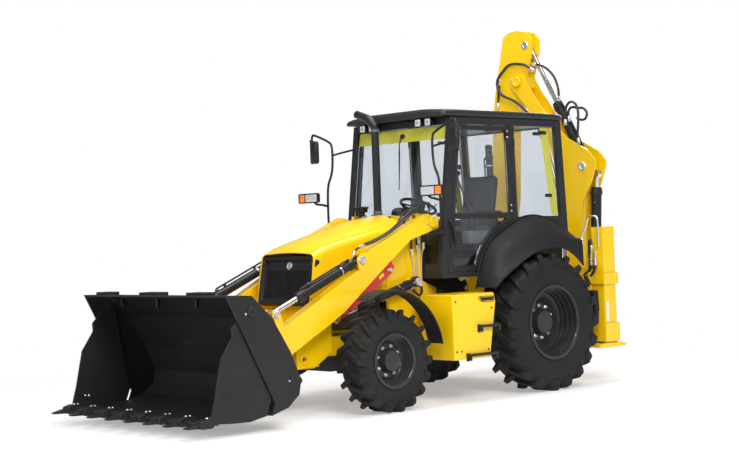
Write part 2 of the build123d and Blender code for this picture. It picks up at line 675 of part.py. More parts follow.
boom_edge = [
    (20, 900), (40, 1400), (39, 1748), (-34, 2092), (-138, 2440), (-241, 2814), (-480, 3120), (-660, 3300), (-672, 3400),
    (-600, 3482), (-500, 3470), (-372, 3263), (-115, 2919), (155, 2671), (440, 2520), (545, 2400), (545, 2330),
    (463, 2125), (355, 1962), (311, 1627), (270, 1200), (250, 900), (200, 790), (80, 790),
]
boom_core = [
    (20, 900), (40, 1400), (39, 1748), (-34, 2092), (-138, 2440), (-241, 2814), (-400, 3020), (-320, 3050), (-160, 2830),
    (100, 2620), (290, 2290), (380, 2170), (330, 2060), (290, 1850), (260, 1500), (240, 1200), (235, 900), (200, 790), (80, 790),
]
with BuildPart() as boom:
    end_plate(boom_edge, hoe_low, hoe_low + 20)
    end_plate(boom_edge, hoe_high - 20, hoe_high)
    end_plate(boom_core, hoe_low + 20, hoe_high - 20)
    pin_x(boom_foot, 45.1, hoe_low, hoe_high, Mode.SUBTRACT)
    pin_x(boom_tip, 45, hoe_low - 25, hoe_high + 25)
save(boom, "boom")

dipper_edge = [
    (-870, 1400), (-1000, 1400), (-1040, 1600), (-1030, 2059), (-1000, 2843), (-960, 3170), (-900, 3432), (-860, 3605),
    (-640, 3560), (-440, 3440), (-450, 3300), (-560, 3180), (-692, 2814), (-729, 2042), (-840, 1420),
]
dipper_tail = [(-860, 3600), (-790, 3910), (-700, 3962), (-560, 3975), (-420, 3940), (-345, 3850), (-360, 3680), (-440, 3440), (-700, 3400)]
with BuildPart() as dipper:
    end_plate(dipper_edge, hoe_x - 75, hoe_x + 75)
    for x in (hoe_x - 75, hoe_x + 50):
        end_plate(dipper_tail, x, x + 25)
    pin_x(boom_tip, 45.1, hoe_x - 75, hoe_x + 75, Mode.SUBTRACT)
    pin_x(dipper_tip, 80, hoe_x - 75, hoe_x + 75)
    pin_x(dipper_tip, 32.1, hoe_x - 75, hoe_x + 75, Mode.SUBTRACT)
    pin_x(rocker_pivot, 26.1, hoe_x - 75, hoe_x + 75, Mode.SUBTRACT)
save(dipper, "dipper")


def ram_along_x_plane(p, q, x, barrel_r, rod_r, eye_r, eye_half, shut, tail, bore):
    """Barrel and rod of a cylinder lying in the plane at x: (y, z) points p and q are its eyes.
    shut, tail and bore are the barrel's end, the rod's inner end and the bore's end, from p."""
    with BuildPart() as barrel:
        a, b, c = toward(p, q, eye_r * 0.6), toward(p, q, shut), toward(p, q, bore)
        rod((x, *a), (x, *b), barrel_r)
        pin_x(p, eye_r, x - eye_half, x + eye_half)
        rod((x, *c), (x, *b), rod_r + 1.5, Mode.SUBTRACT)
    with BuildPart() as ram:
        a, b = toward(p, q, tail), toward(q, p, eye_r * 0.6)
        rod((x, *a), (x, *b), rod_r)
        pin_x(q, eye_r, x - eye_half, x + eye_half)
    return barrel, ram


bucket_ram_pins = ((-1150, 2650), (-1110, 1470))
for name, pins, size in (
    ("boom_ram", (boom_base_pin, boom_top_pin), (58, 32, 50, 30, 960, 280, 265)),
    ("dipper_ram", (dipper_base_pin, dipper_rod_pin), (55, 30, 48, 30, 860, 800, 105)),
    ("hoe_bucket_ram", bucket_ram_pins, (42, 25, 38, 26, 700, 640, 205)),
):
    barrel, ram = ram_along_x_plane(*pins, hoe_x, *size)
    save(barrel, f"{name}_barrel")
    save(ram, f"{name}_rod")

hoe_bucket_pin = (-1075, 1245)
with BuildPart() as rocker:
    for x in (hoe_x - 105, hoe_x + 83):
        end_plate(bar(rocker_pivot, bucket_ram_pins[1], 34, 30), x, x + 22)
    pin_x(rocker_pivot, 26, hoe_x - 120, hoe_x + 120)
save(rocker, "hoe_rocker")

with BuildPart() as push_link:
    for x in (hoe_x - 66, hoe_x + 44):
        end_plate(bar(bucket_ram_pins[1], hoe_bucket_pin, 32, 28), x, x + 22)
save(push_link, "hoe_push_link")

bucket_back = [(-890, 1340), (-1000, 1240), (-1090, 1130), (-1110, 1000), (-1030, 870), (-850, 790), (-600, 800), (-400, 890), (-280, 1040), (-230, 1210)]
with BuildPart() as hoe_bucket:
    w = hoe_bucket_w / 2
    end_plate(band(bucket_back, -12), hoe_x - w, hoe_x + w)
    for x in (hoe_x - w, hoe_x + w - 14):
        end_plate(bucket_back + [(-420, 1230)], x, x + 14)
    for x in (hoe_x - 105, hoe_x + 83):
        end_plate([(-1000, 1470), (-945, 1515), (-890, 1460), (-880, 1340), (-1075, 1265), (-1076, 1345)], x, x + 22)
    pin_x(dipper_tip, 32, hoe_x - 105, hoe_x + 105)
    for k in range(4):
        x = hoe_x - w + 50 + (hoe_bucket_w - 100) * k / 3
        end_plate([(-262, 1120), (-218, 1120), (-185, 1330), (-210, 1335), (-250, 1200)], x - 28, x + 28)
save(hoe_bucket, "hoe_bucket")
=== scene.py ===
import json
from math import cos, pi, radians, sin

import bmesh
import bpy
import numpy as np
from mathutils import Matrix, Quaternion, Vector

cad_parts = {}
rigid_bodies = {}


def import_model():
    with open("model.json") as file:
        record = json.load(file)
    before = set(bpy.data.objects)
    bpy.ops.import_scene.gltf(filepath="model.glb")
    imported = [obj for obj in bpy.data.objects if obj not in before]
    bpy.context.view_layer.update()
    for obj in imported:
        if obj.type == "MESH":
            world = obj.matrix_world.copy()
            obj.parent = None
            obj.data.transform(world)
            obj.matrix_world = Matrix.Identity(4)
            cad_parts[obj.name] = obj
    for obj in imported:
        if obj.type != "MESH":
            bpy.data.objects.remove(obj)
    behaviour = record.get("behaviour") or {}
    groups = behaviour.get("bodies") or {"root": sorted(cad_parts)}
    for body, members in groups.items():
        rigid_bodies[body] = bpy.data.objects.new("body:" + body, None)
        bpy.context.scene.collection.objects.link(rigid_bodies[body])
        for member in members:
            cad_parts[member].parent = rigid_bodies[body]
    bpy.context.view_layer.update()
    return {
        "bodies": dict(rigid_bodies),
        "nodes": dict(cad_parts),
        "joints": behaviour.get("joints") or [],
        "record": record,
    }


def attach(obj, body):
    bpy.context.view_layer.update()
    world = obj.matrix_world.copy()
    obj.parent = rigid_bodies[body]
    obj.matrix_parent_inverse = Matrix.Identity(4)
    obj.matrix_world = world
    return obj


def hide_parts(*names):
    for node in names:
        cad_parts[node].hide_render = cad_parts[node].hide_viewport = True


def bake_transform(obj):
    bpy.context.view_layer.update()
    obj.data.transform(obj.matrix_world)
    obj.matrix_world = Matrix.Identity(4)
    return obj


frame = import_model()
nodes = frame["nodes"]
print("frame loaded:", len(nodes), "nodes")

# The camera stands where the photograph was taken from: metres, degrees, and a 36 mm wide sensor
view = {
    "place": (10.420, 11.271, 1.635), "yaw": 227.6156, "pitch": 0.0666, "roll": -2.0251,
    "sensor": 36.0, "focalPixels": 1516.35, "imageWidth": 740,
}
studio = {
    "floorColour": (0.93, 0.93, 0.93, 1), "floorRough": 0.9, "floorHalf": 60.0, "nearWhite": 0.35,
    "shadowFade": (2.6, 6.0), "white": (1, 1, 1, 1), "worldStrength": 0.30,
    # name, place, aim, power in watts, width and height of the panel in metres
    "lamps": (
        ("keyPanel", (4.5, 9.0, 7.5), (0.0, 0.0, 1.2), 1000, (5.0, 3.5)),
        ("frontPanel", (10.0, 0.5, 5.0), (1.5, 0.0, 0.8), 330, (4.0, 3.0)),
        ("topPanel", (-1.0, 0.5, 9.5), (-0.5, 0.0, 1.0), 620, (7.0, 4.0)),
        ("rearPanel", (-9.0, -4.0, 5.5), (-1.5, 0.0, 1.5), 420, (4.0, 3.0)),
    ),
}


def addObject(name, data):
    # A new object at the origin, in the scene's own collection
    thing = bpy.data.objects.new(name, data)
    bpy.context.scene.collection.objects.link(thing)
    return thing


def makeCamera(v):
    # The lens is the focal length in pixels times the sensor's
    # width over the image's; yaw and pitch give the direction
    data = bpy.data.cameras.new("camera")
    data.sensor_width = v["sensor"]
    data.lens = v["focalPixels"] * v["sensor"] / v["imageWidth"]
    data.clip_end = 200
    camera = addObject("camera", data)
    yaw, pitch = radians(v["yaw"]), radians(v["pitch"])
    forward = Vector((cos(pitch) * cos(yaw), cos(pitch) * sin(yaw), sin(pitch)))
    camera.rotation_mode = "QUATERNION"
    camera.rotation_quaternion = forward.to_track_quat("-Z", "Y") @ Quaternion((0, 0, 1), radians(v["roll"]))
    camera.location = v["place"]
    bpy.context.scene.camera = camera


def newMaterial(name):
    # A material with its node tree and the shader in it
    material = bpy.data.materials.new(name)
    material.use_nodes = True
    tree = material.node_tree
    return material, tree, tree.nodes["Principled BSDF"]


def newGroup(name, inputs, outputs):
    # Each input is a label, a socket kind and a start value, each output a label and a kind
    group = bpy.data.node_groups.new(name, "ShaderNodeTree")
    for label, kind, value in inputs:
        group.interface.new_socket(name=label, in_out="INPUT",
                                   socket_type="NodeSocket" + kind).default_value = value
    for label, kind in outputs:
        group.interface.new_socket(name=label, in_out="OUTPUT", socket_type="NodeSocket" + kind)
    return group, group.nodes.new("NodeGroupInput"), group.nodes.new("NodeGroupOutput")


def addNode(tree, kind, values=None, **links):
    # values: input label or number -> value; links: input name with _ for a space -> output socket
    node = tree.nodes.new("ShaderNode" + kind)
    for key, value in (values or {}).items():
        if isinstance(key, str) and hasattr(node, key):
            setattr(node, key, value)
        else:
            node.inputs[key].default_value = value
    for key, socket in links.items():
        slot = int(key[2:]) if key.startswith("in") and key[2:].isdigit() else key.replace("_", " ")
        tree.links.new(socket, node.inputs[slot])
    return node


def product(tree, first, second, clamp=False):
    # first times second, held between 0 and 1 where clamp is set
    return addNode(tree, "Math", {"operation": "MULTIPLY", "use_clamp": clamp}, in0=first,
                   in1=second).outputs[0]


def larger(tree, first, second):
    # The larger of two masks: either one switches it on
    return addNode(tree, "Math", {"operation": "MAXIMUM"}, in0=first, in1=second).outputs[0]


def makeFloor(s):
    # Its white share for the camera, gloss and glass grows with
    # the distance from the object; the rest keeps the shadow
    material, tree, shader = newMaterial("studioFloor")
    shader.inputs["Base Color"].default_value = s["floorColour"]
    shader.inputs["Roughness"].default_value = s["floorRough"]
    where = addNode(tree, "TexCoord")
    away = addNode(tree, "VectorMath", {"operation": "LENGTH"}, in0=where.outputs["Object"])
    near, far = s["shadowFade"]
    fade = addNode(tree, "MapRange", {"From Min": near, "From Max": far, "To Min": s["nearWhite"]},
                   Value=away.outputs["Value"])
    rays = addNode(tree, "LightPath").outputs
    seen = larger(tree, larger(tree, rays["Is Camera Ray"], rays["Is Transmission Ray"]),
                  rays["Is Glossy Ray"])
    glow = addNode(tree, "Emission", {"Color": s["white"]})
    both = addNode(tree, "MixShader", in0=product(tree, seen, fade.outputs[0]), in1=shader.outputs[0],
                   in2=glow.outputs[0])
    tree.links.new(both.outputs[0], tree.nodes["Material Output"].inputs[0])
    half = s["floorHalf"]
    mesh = bpy.data.meshes.new("studioFloor")
    mesh.from_pydata([(-half, -half, 0), (half, -half, 0), (half, half, 0), (-half, half, 0)], [],
                     [(0, 1, 2, 3)])
    mesh.materials.append(material)
    addObject("studioFloor", mesh)


def makeWorld(s):
    # Pure white for the camera and through glass, a weak even light for all else
    world = bpy.data.worlds.new("studioWorld")
    bpy.context.scene.world = world
    world.use_nodes = True
    tree = world.node_tree
    soft = tree.nodes["Background"]
    soft.inputs["Color"].default_value = s["white"]
    soft.inputs["Strength"].default_value = s["worldStrength"]
    white = addNode(tree, "Background", {"Color": s["white"]})
    rays = addNode(tree, "LightPath").outputs
    pick = addNode(tree, "MixShader", in0=larger(tree, rays["Is Camera Ray"], rays["Is Transmission Ray"]),
                   in1=soft.outputs[0], in2=white.outputs[0])
    tree.links.new(pick.outputs[0], tree.nodes["World Output"].inputs[0])


def makeLights(s):
    # Each lamp is a rectangle whose face looks from its place towards its aim
    for name, place, aim, power, size in s["lamps"]:
        lamp = bpy.data.lights.new(name, "AREA")
        lamp.shape = "RECTANGLE"
        lamp.size, lamp.size_y = size
        lamp.energy = power
        panel = addObject(name, lamp)
        panel.location = place
        panel.rotation_euler = (Vector(aim) - Vector(place)).to_track_quat("-Z", "Y").to_euler()


bpy.context.scene.view_settings.view_transform = "Standard"
makeCamera(view)
makeFloor(studio)
makeWorld(studio)
makeLights(studio)
print("camera, floor and lamps placed")


def buildSkinGroup():
    # Rounds the edges that light catches and gives the surface its fine grain, as a normal and a roughness
    group, given, result = newGroup("skin", (
        ("Grain Scale", "Float", 60.0), ("Grain Height", "Float", 0.02), ("Edge Radius", "Float", 0.004),
        ("Rough Low", "Float", 0.3), ("Rough High", "Float", 0.4), ("Rough Scale", "Float", 2.5),
    ), (("Normal", "Vector"), ("Roughness", "Float")))
    where = addNode(group, "TexCoord")
    rounded = addNode(group, "Bevel", {"samples": 4}, Radius=given.outputs["Edge Radius"])
    grain = addNode(group, "TexNoise", {"Detail": 3.0}, Vector=where.outputs["Object"],
                    Scale=given.outputs["Grain Scale"])
    bump = addNode(group, "Bump", {"Distance": 0.01}, Strength=given.outputs["Grain Height"],
                   Height=grain.outputs["Fac"], Normal=rounded.outputs[0])
    patches = addNode(group, "TexNoise", {"Detail": 6.0, "Roughness": 0.65}, Vector=where.outputs["Object"],
                      Scale=given.outputs["Rough Scale"])
    spread = addNode(group, "MapRange", {"From Min": 0.3, "From Max": 0.7}, Value=patches.outputs["Fac"],
                     To_Min=given.outputs["Rough Low"], To_Max=given.outputs["Rough High"])
    group.links.new(bump.outputs[0], result.inputs["Normal"])
    group.links.new(spread.outputs[0], result.inputs["Roughness"])
    return group


def mixByMask(group, mask, given, second, result):
    # The colour given turns into the second one where the mask is 1; both the colour and the mask come out
    mix = addNode(group, "Mix", {"data_type": "RGBA"}, in0=mask, in6=given.outputs["Colour"],
                  in7=given.outputs[second])
    group.links.new(mix.outputs[2], result.inputs["Colour"])
    group.links.new(mask, result.inputs["Mask"])


def buildEdgeGroup():
    # Where the rounded normal leaves the flat one there is an
    # edge: its paint is thinner and lighter, in broken patches
    group, given, result = newGroup("edgeWear", (
        ("Colour", "Color", (1, 1, 1, 1)), ("Edge Colour", "Color", (1, 1, 1, 1)), ("Amount", "Float", 0.3),
        ("Width", "Float", 0.006),
    ), (("Colour", "Color"), ("Mask", "Float")))
    flat = addNode(group, "NewGeometry")
    rounded = addNode(group, "Bevel", {"samples": 4}, Radius=given.outputs["Width"])
    same = addNode(group, "VectorMath", {"operation": "DOT_PRODUCT"}, in0=rounded.outputs[0],
                   in1=flat.outputs["Normal"])
    where = addNode(group, "TexCoord")
    breaks = addNode(group, "TexNoise", {"Scale": 9.0, "Detail": 5.0}, Vector=where.outputs["Object"])
    edge = addNode(group, "MapRange", {"From Min": 0.995, "From Max": 0.86}, Value=same.outputs["Value"])
    broken = addNode(group, "MapRange", {"From Min": 0.42, "From Max": 0.6}, Value=breaks.outputs["Fac"])
    both = product(group, edge.outputs[0], broken.outputs[0])
    mask = product(group, both, given.outputs["Amount"], clamp=True)
    mixByMask(group, mask, given, "Edge Colour", result)
    return group


def buildDustGroup():
    # A thin film of dust, thickest near the ground and on faces that look up, broken by two noises
    group, given, result = newGroup("dustFilm", (
        ("Colour", "Color", (1, 1, 1, 1)), ("Dust Colour", "Color", (0.42, 0.37, 0.3, 1)),
        ("Amount", "Float", 0.1),
        ("Fade Height", "Float", 1.6),
    ), (("Colour", "Color"), ("Mask", "Float")))
    where = addNode(group, "TexCoord")
    split = addNode(group, "SeparateXYZ", in0=where.outputs["Object"])
    facing = addNode(group, "NewGeometry")
    up = addNode(group, "SeparateXYZ", in0=facing.outputs["Normal"])
    low = addNode(group, "MapRange", {"From Min": 0.0, "To Min": 1.0, "To Max": 0.15},
                  Value=split.outputs["Z"], From_Max=given.outputs["Fade Height"])
    upward = addNode(group, "MapRange", {"From Min": -0.2, "From Max": 1.0, "To Min": 0.55},
                     Value=up.outputs["Z"])
    cloud = addNode(group, "TexNoise", {"Scale": 3.2, "Detail": 8.0, "Roughness": 0.7},
                    Vector=where.outputs["Object"])
    broken = addNode(group, "MapRange", {"From Min": 0.35, "From Max": 0.7}, Value=cloud.outputs["Fac"])
    settled = product(group, product(group, low.outputs[0], upward.outputs[0]), broken.outputs[0])
    mask = product(group, settled, given.outputs["Amount"], clamp=True)
    mixByMask(group, mask, given, "Dust Colour", result)
    return group


skinGroup = buildSkinGroup()
edgeGroup = buildEdgeGroup()
dustGroup = buildDustGroup()

# Each finish: colour, metal, coat, roughness from and to, grain scale and height, edge radius, wear, dust
finishes = {
    "yellowPaint": dict(colour=(0.91, 0.575, 0.001), coat=0.45, rough=(0.26, 0.36), grain=(240, 0.015),
                        edge=0.006, specular=0.35, wear=0.12, wearColour=(1.0, 0.82, 0.15), dust=0.03),
    "blackPaint": dict(colour=(0.014, 0.014, 0.016), coat=0.15, rough=(0.34, 0.48), grain=(300, 0.03),
                       edge=0.005, specular=0.22, wear=0.45, wearColour=(0.16, 0.16, 0.17), dust=0.06),
    "bucketPaint": dict(colour=(0.016, 0.016, 0.018), coat=0.05, rough=(0.38, 0.55), grain=(160, 0.05),
                        edge=0.006, specular=0.22, wear=0.5, wearColour=(0.10, 0.10, 0.11), dust=0.03),
    "cabPaint": dict(colour=(0.020, 0.021, 0.024), coat=0.2, rough=(0.34, 0.46), grain=(300, 0.03),
                     edge=0.006, specular=0.22, wear=0.3, wearColour=(0.15, 0.15, 0.16), dust=0.04),
    "blackMoulding": dict(colour=(0.013, 0.013, 0.015), coat=0.0, rough=(0.48, 0.62), grain=(520, 0.12),
                          edge=0.005, specular=0.22, wear=0.25, wearColour=(0.12, 0.12, 0.13), dust=0.05),
    "wheelPaint": dict(colour=(0.020, 0.020, 0.022), coat=0.25, rough=(0.30, 0.42), grain=(260, 0.03),
                       edge=0.004, specular=0.22, wear=0.4, wearColour=(0.2, 0.2, 0.21), dust=0.08),
    "tyreRubber": dict(colour=(0.013, 0.013, 0.014), coat=0.0, rough=(0.60, 0.78), grain=(380, 0.16),
                       edge=0.004, specular=0.22, wear=0.25, wearColour=(0.050, 0.050, 0.050), dust=0.04),
    "castIron": dict(colour=(0.10, 0.10, 0.11), coat=0.0, rough=(0.5, 0.65), grain=(180, 0.2), edge=0.004,
                     wear=0.3, wearColour=(0.3, 0.3, 0.3), dust=0.12),
    "chromedRod": dict(colour=(0.80, 0.80, 0.82), metallic=1.0, coat=0.0, rough=(0.07, 0.14),
                       grain=(500, 0.004), edge=0.002, wear=0.0, wearColour=(0.8, 0.8, 0.8), dust=0.02),
    "brightSteel": dict(colour=(0.78, 0.78, 0.80), metallic=1.0, coat=0.0, rough=(0.25, 0.4),
                        grain=(400, 0.03), edge=0.002, wear=0.1, wearColour=(0.8, 0.8, 0.8), dust=0.05),
    "redPaint": dict(colour=(0.60, 0.010, 0.018), coat=0.4, rough=(0.28, 0.38), grain=(240, 0.02), edge=0.005,
                     wear=0.15, wearColour=(0.8, 0.12, 0.1), dust=0.05),
    "hoseRubber": dict(colour=(0.020, 0.020, 0.022), coat=0.05, rough=(0.38, 0.5), grain=(700, 0.1),
                       edge=0.002, wear=0.2, wearColour=(0.08, 0.08, 0.08), dust=0.04),
    "cabTrim": dict(colour=(0.16, 0.17, 0.19), coat=0.0, rough=(0.5, 0.65), grain=(420, 0.12), edge=0.004,
                    wear=0.1, wearColour=(0.25, 0.25, 0.26), dust=0.0),
    "sunStrip": dict(colour=(0.50, 0.50, 0.055), coat=0.3, rough=(0.2, 0.3), grain=(300, 0.01), edge=0.001,
                     wear=0.0, wearColour=(0.5, 0.5, 0.1), dust=0.02),
    "plateYellow": dict(colour=(0.85, 0.66, 0.02), coat=0.3, rough=(0.3, 0.4), grain=(300, 0.01), edge=0.001,
                        wear=0.1, wearColour=(0.9, 0.8, 0.3), dust=0.04),
    "plateWhite": dict(colour=(0.80, 0.80, 0.80), coat=0.3, rough=(0.3, 0.4), grain=(300, 0.01), edge=0.001,
                       wear=0.0, wearColour=(0.8, 0.8, 0.8), dust=0.04),
    "seatCloth": dict(colour=(0.055, 0.057, 0.064), coat=0.0, rough=(0.8, 0.95), grain=(900, 0.35),
                      edge=0.003, wear=0.0, wearColour=(0.1, 0.1, 0.1), dust=0.0),
}


def paintedMaterial(name, f):
    # Colour goes through the dust and the edge wear; the skin gives normal and roughness
    material, tree, shader = newMaterial(name)
    dust = addNode(tree, "Group", {"node_tree": dustGroup})
    dust.inputs["Colour"].default_value = (*f["colour"], 1)
    dust.inputs["Amount"].default_value = f["dust"]
    wear = addNode(tree, "Group", {"node_tree": edgeGroup}, Colour=dust.outputs["Colour"])
    wear.inputs["Edge Colour"].default_value = (*f["wearColour"], 1)
    wear.inputs["Amount"].default_value = f["wear"]
    wear.inputs["Width"].default_value = f["edge"]
    skin = addNode(tree, "Group", {"node_tree": skinGroup})
    for label, value in (("Grain Scale", f["grain"][0]), ("Grain Height", f["grain"][1]),
                         ("Edge Radius", f["edge"]), ("Rough Low", f["rough"][0]),
                         ("Rough High", f["rough"][1])):
        skin.inputs[label].default_value = value
    tree.links.new(wear.outputs["Colour"], shader.inputs["Base Color"])
    tree.links.new(skin.outputs["Normal"], shader.inputs["Normal"])
    tree.links.new(skin.outputs["Roughness"], shader.inputs["Roughness"])
    shader.inputs["Metallic"].default_value = f.get("metallic", 0.0)
    shader.inputs["Coat Weight"].default_value = f["coat"]
    shader.inputs["Coat Roughness"].default_value = 0.08
    shader.inputs["Specular IOR Level"].default_value = f.get("specular", 0.5)
    return material


def glassMaterial(name, tint, alphaInShade):
    # Clear pane; light reaches the cab, because the pane's share for shadow rays is only alphaInShade
    material, tree, shader = newMaterial(name)
    shader.inputs["Base Color"].default_value = (*tint, 1)
    shader.inputs["Roughness"].default_value = 0.02
    shader.inputs["Transmission Weight"].default_value = 1.0
    shader.inputs["IOR"].default_value = 1.42
    rays = addNode(tree, "LightPath")
    shade = addNode(tree, "MapRange", {"To Min": 1.0, "To Max": alphaInShade},
                    Value=rays.outputs["Is Shadow Ray"])
    tree.links.new(shade.outputs[0], shader.inputs["Alpha"])
    return material


def lensMaterial(name, tint, glow):
    # Ribbed lens: upright ridges from a wave across it; its weak glow is painted light, the shine of a bright
    # reflector behind it
    material, tree, shader = newMaterial(name)
    shader.inputs["Roughness"].default_value = 0.12
    shader.inputs["Coat Weight"].default_value = 1.0
    where = addNode(tree, "TexCoord")
    ribs = addNode(tree, "TexWave", {"Scale": 40.0, "Distortion": 0.0}, Vector=where.outputs["Object"])
    ribs.bands_direction = "Y"
    bump = addNode(tree, "Bump", {"Strength": 0.35, "Distance": 0.003}, Height=ribs.outputs["Fac"])
    tree.links.new(bump.outputs[0], shader.inputs["Normal"])
    shader.inputs["Base Color"].default_value = (*tint, 1)
    # Painted glow: the emission stands in for the reflector's shine
    shader.inputs["Emission Color"].default_value = (*tint, 1)
    shader.inputs["Emission Strength"].default_value = glow
    return material


materials = {name: paintedMaterial(name, f) for name, f in finishes.items()}
materials["clearGlass"] = glassMaterial("clearGlass", (0.80, 0.83, 0.86), 0.25)
# Both lenses glow a little, as a painted shine of their reflectors
materials["orangeLens"] = lensMaterial("orangeLens", (0.95, 0.22, 0.01), 0.15)
materials["clearLens"] = lensMaterial("clearLens", (0.55, 0.57, 0.60), 0.05)
materials["mirrorGlass"] = paintedMaterial("mirrorGlass", dict(
    colour=(0.75, 0.78, 0.80), metallic=1.0, coat=0.0, rough=(0.03, 0.06), grain=(30, 0.002), edge=0.001,
    wear=0.0,
    wearColour=(0.8, 0.8, 0.8), dust=0.02))
print("materials:", len(materials))

nodeFinish = {
    "yellowPaint": "hood cowl step_boxes loader_arms tilt_levers bucket_links hoe_frame stabiliser_leg_left "
                   "stabiliser_leg_right hoe_carriage kingpost boom dipper hoe_rocker hoe_push_link "
                   "chassis_frame",
    "cabPaint": "cab_frame cab_roof door_left door_right",
    "bucketPaint": "loader_bucket bucket_clam hoe_bucket",
    "blackPaint": "exhaust_stack mirror_arms front_axle rear_axle steering_knuckle_left "
                  "steering_knuckle_right "
                  "lift_barrels tilt_barrels boom_ram_barrel dipper_ram_barrel hoe_bucket_ram_barrel",
    "castIron": "powertrain",
    "wheelPaint": "front_rim_left front_rim_right rear_rim_left rear_rim_right",
    "tyreRubber": "front_tyre_left front_tyre_right rear_tyre_left rear_tyre_right",
    "blackMoulding": "rear_fenders front_fender_left front_fender_right grille air_precleaner "
                     "control_console",
    "chromedRod": "lift_rods tilt_rods boom_ram_rod dipper_ram_rod hoe_bucket_ram_rod",
    "redPaint": "safety_strut",
    "seatCloth": "operator_seat",
    "clearGlass": "cab_glass door_glass_left door_glass_right",
    "clearLens": "lamps",
}
for finish, names in nodeFinish.items():
    for name in names.split():
        nodes[name].data.materials.clear()
        nodes[name].data.materials.append(materials[finish])
print("CAD nodes painted")


sides = (("left", 1), ("right", -1))


def unit(v):
    # Each vector over its own length
    return v / np.linalg.norm(v, axis=-1, keepdims=True)


def surface(points, wrapRows=False, wrapColumns=True, caps=False):
    # Quads between neighbouring points of each grid; a wrapped way runs on to its start, caps close the ends
    points = np.asarray(points, float)
    points = points[None] if points.ndim == 3 else points
    count, rows, columns, _ = points.shape
    i = np.arange(rows if wrapRows else rows - 1)[:, None]
    j = np.arange(columns if wrapColumns else columns - 1)[None, :]
    nextRow, nextColumn = (i + 1) % rows, (j + 1) % columns
    quads = np.stack((i * columns + j, i * columns + nextColumn, nextRow * columns + nextColumn,
                      nextRow * columns + j), -1)
    start = np.arange(count)[:, None, None] * rows * columns
    faces = (quads.reshape(1, -1, 4) + start).reshape(-1, 4).tolist()
    if caps:
        ring = np.arange(columns)
        last = (rows - 1) * columns
        faces += (ring[None] + start[:, 0]).tolist() + (ring[None] + last + start[:, 0]).tolist()
    return points.reshape(-1, 3), faces


def makePiece(name, body, parts, finish, stands=(), bevel=0, levels=0, smooth=32, bends=None):
    # One mesh of all parts, whose finish is one name or one for
    # each part; doubles are joined and faces turned outwards.
    # It rides its body; where bends is given, it is only baked
    # where it stands and rides no body, and the body and two ends that bends holds are not read
    names = [finish] * len(parts) if isinstance(finish, str) else list(finish)
    finishNames = list(dict.fromkeys(names))
    starts = np.cumsum([0] + [len(points) for points, _ in parts])
    faces = [[k + start for k in face] for (_, some), start in zip(parts, starts) for face in some]
    mesh = bpy.data.meshes.new(name)
    mesh.from_pydata(np.vstack([points for points, _ in parts]), [], faces)
    for each in finishNames:
        mesh.materials.append(materials[each])
    numbers = np.repeat([finishNames.index(each) for each in names], [len(some) for _, some in parts])
    mesh.polygons.foreach_set("material_index", numbers)
    work = bmesh.new()
    work.from_mesh(mesh)
    bmesh.ops.remove_doubles(work, verts=work.verts, dist=1e-6)
    bmesh.ops.recalc_face_normals(work, faces=work.faces)
    work.to_mesh(mesh)
    work.free()
    mesh.shade_smooth()
    mesh.set_sharp_from_angle(angle=radians(smooth))
    piece = addObject(name, mesh)
    if bevel:
        edge = piece.modifiers.new("edge", "BEVEL")
        edge.width, edge.segments, edge.limit_method, edge.angle_limit = bevel, 2, "ANGLE", radians(40)
        edge.harden_normals = False
    if levels:
        finer = piece.modifiers.new("finer", "SUBSURF")
        finer.levels = finer.render_levels = levels
    if bends:
        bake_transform(piece)
    else:
        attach(piece, body)
    if stands:
        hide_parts(*stands)
    return piece


def smoothPath(points, steps=8):
    # A smooth curve through the points: each stretch is a cubic
    # in t whose ends have the slope of their neighbours' chord
    p = np.asarray(points, float)
    p = np.vstack((2 * p[0] - p[1], p, 2 * p[-1] - p[-2]))
    t = np.linspace(0, 1, steps, endpoint=False)[None, :, None]
    a, b, c, d = (p[k:len(p) - 3 + k, None] for k in range(4))
    run = 0.5 * (2 * b + (c - a) * t + (2 * a - 5 * b + 4 * c - d) * t ** 2
                 + (3 * b - a - 3 * c + d) * t ** 3)
    return np.vstack((run.reshape(-1, 3), p[-2]))


def tube(path, radius, sides=12):
    # A circle carried along the path, square to it, and turned from the direction that the path runs least in
    path = np.asarray(path, float)
    run = unit(np.gradient(path, axis=0))
    still = np.linalg.svd(run)[2][-1]
    first = unit(np.cross(run, still))
    second = np.cross(run, first)
    turn = np.linspace(0, 2 * pi, sides, endpoint=False)[None, :, None]
    radius = np.broadcast_to(radius, len(path))[:, None, None]
    return surface(path[:, None] + radius * (np.cos(turn) * first[:, None] + np.sin(turn) * second[:, None]),
                   caps=True)


def lathe(profile, centres, axis, sides=32):
    # Turns (distance along the axis, radius) pairs about the axis, at each of the centres
    axis = unit(np.asarray(axis, float))
    side = unit(np.cross(axis, (0.13, 0.31, 0.94) if abs(axis[2]) < 0.9 else (1.0, 0.2, 0.0)))
    up = np.cross(axis, side)
    along, radius = np.asarray(profile, float).T[:, :, None, None]
    turn = np.linspace(0, 2 * pi, sides, endpoint=False)[None, :, None]
    one = along * axis + radius * (np.cos(turn) * side + np.sin(turn) * up)
    return surface(np.asarray(centres, float).reshape(-1, 1, 1, 3) + one[None])


def hexHeads(centres, axis, size, height):
    # Six-sided heads on round washers, their upper edge turned down
    head = lathe([(0, 0), (0, size), (height * 0.85, size), (height, size * 0.86), (height, 0)], centres,
                 axis, 6)
    washer = lathe([(0, 0), (0, size * 1.35), (height * 0.22, size * 1.35), (height * 0.3, size * 1.2),
                    (height * 0.3, 0)], centres, axis, 18)
    return [washer, head]


def slab(outline, flat, low, high):
    # A closed outline on the plane across the axis named flat, carried from low to high
    ring = np.asarray(outline, float)
    ends = np.repeat([[low], [high]], len(ring), axis=1)[..., None]
    both = np.broadcast_to(ring, (2, *ring.shape))
    order = {"x": (2, 0, 1), "y": (0, 2, 1), "z": (0, 1, 2)}[flat]
    return surface(np.concatenate((both, ends), -1)[..., order], caps=True)


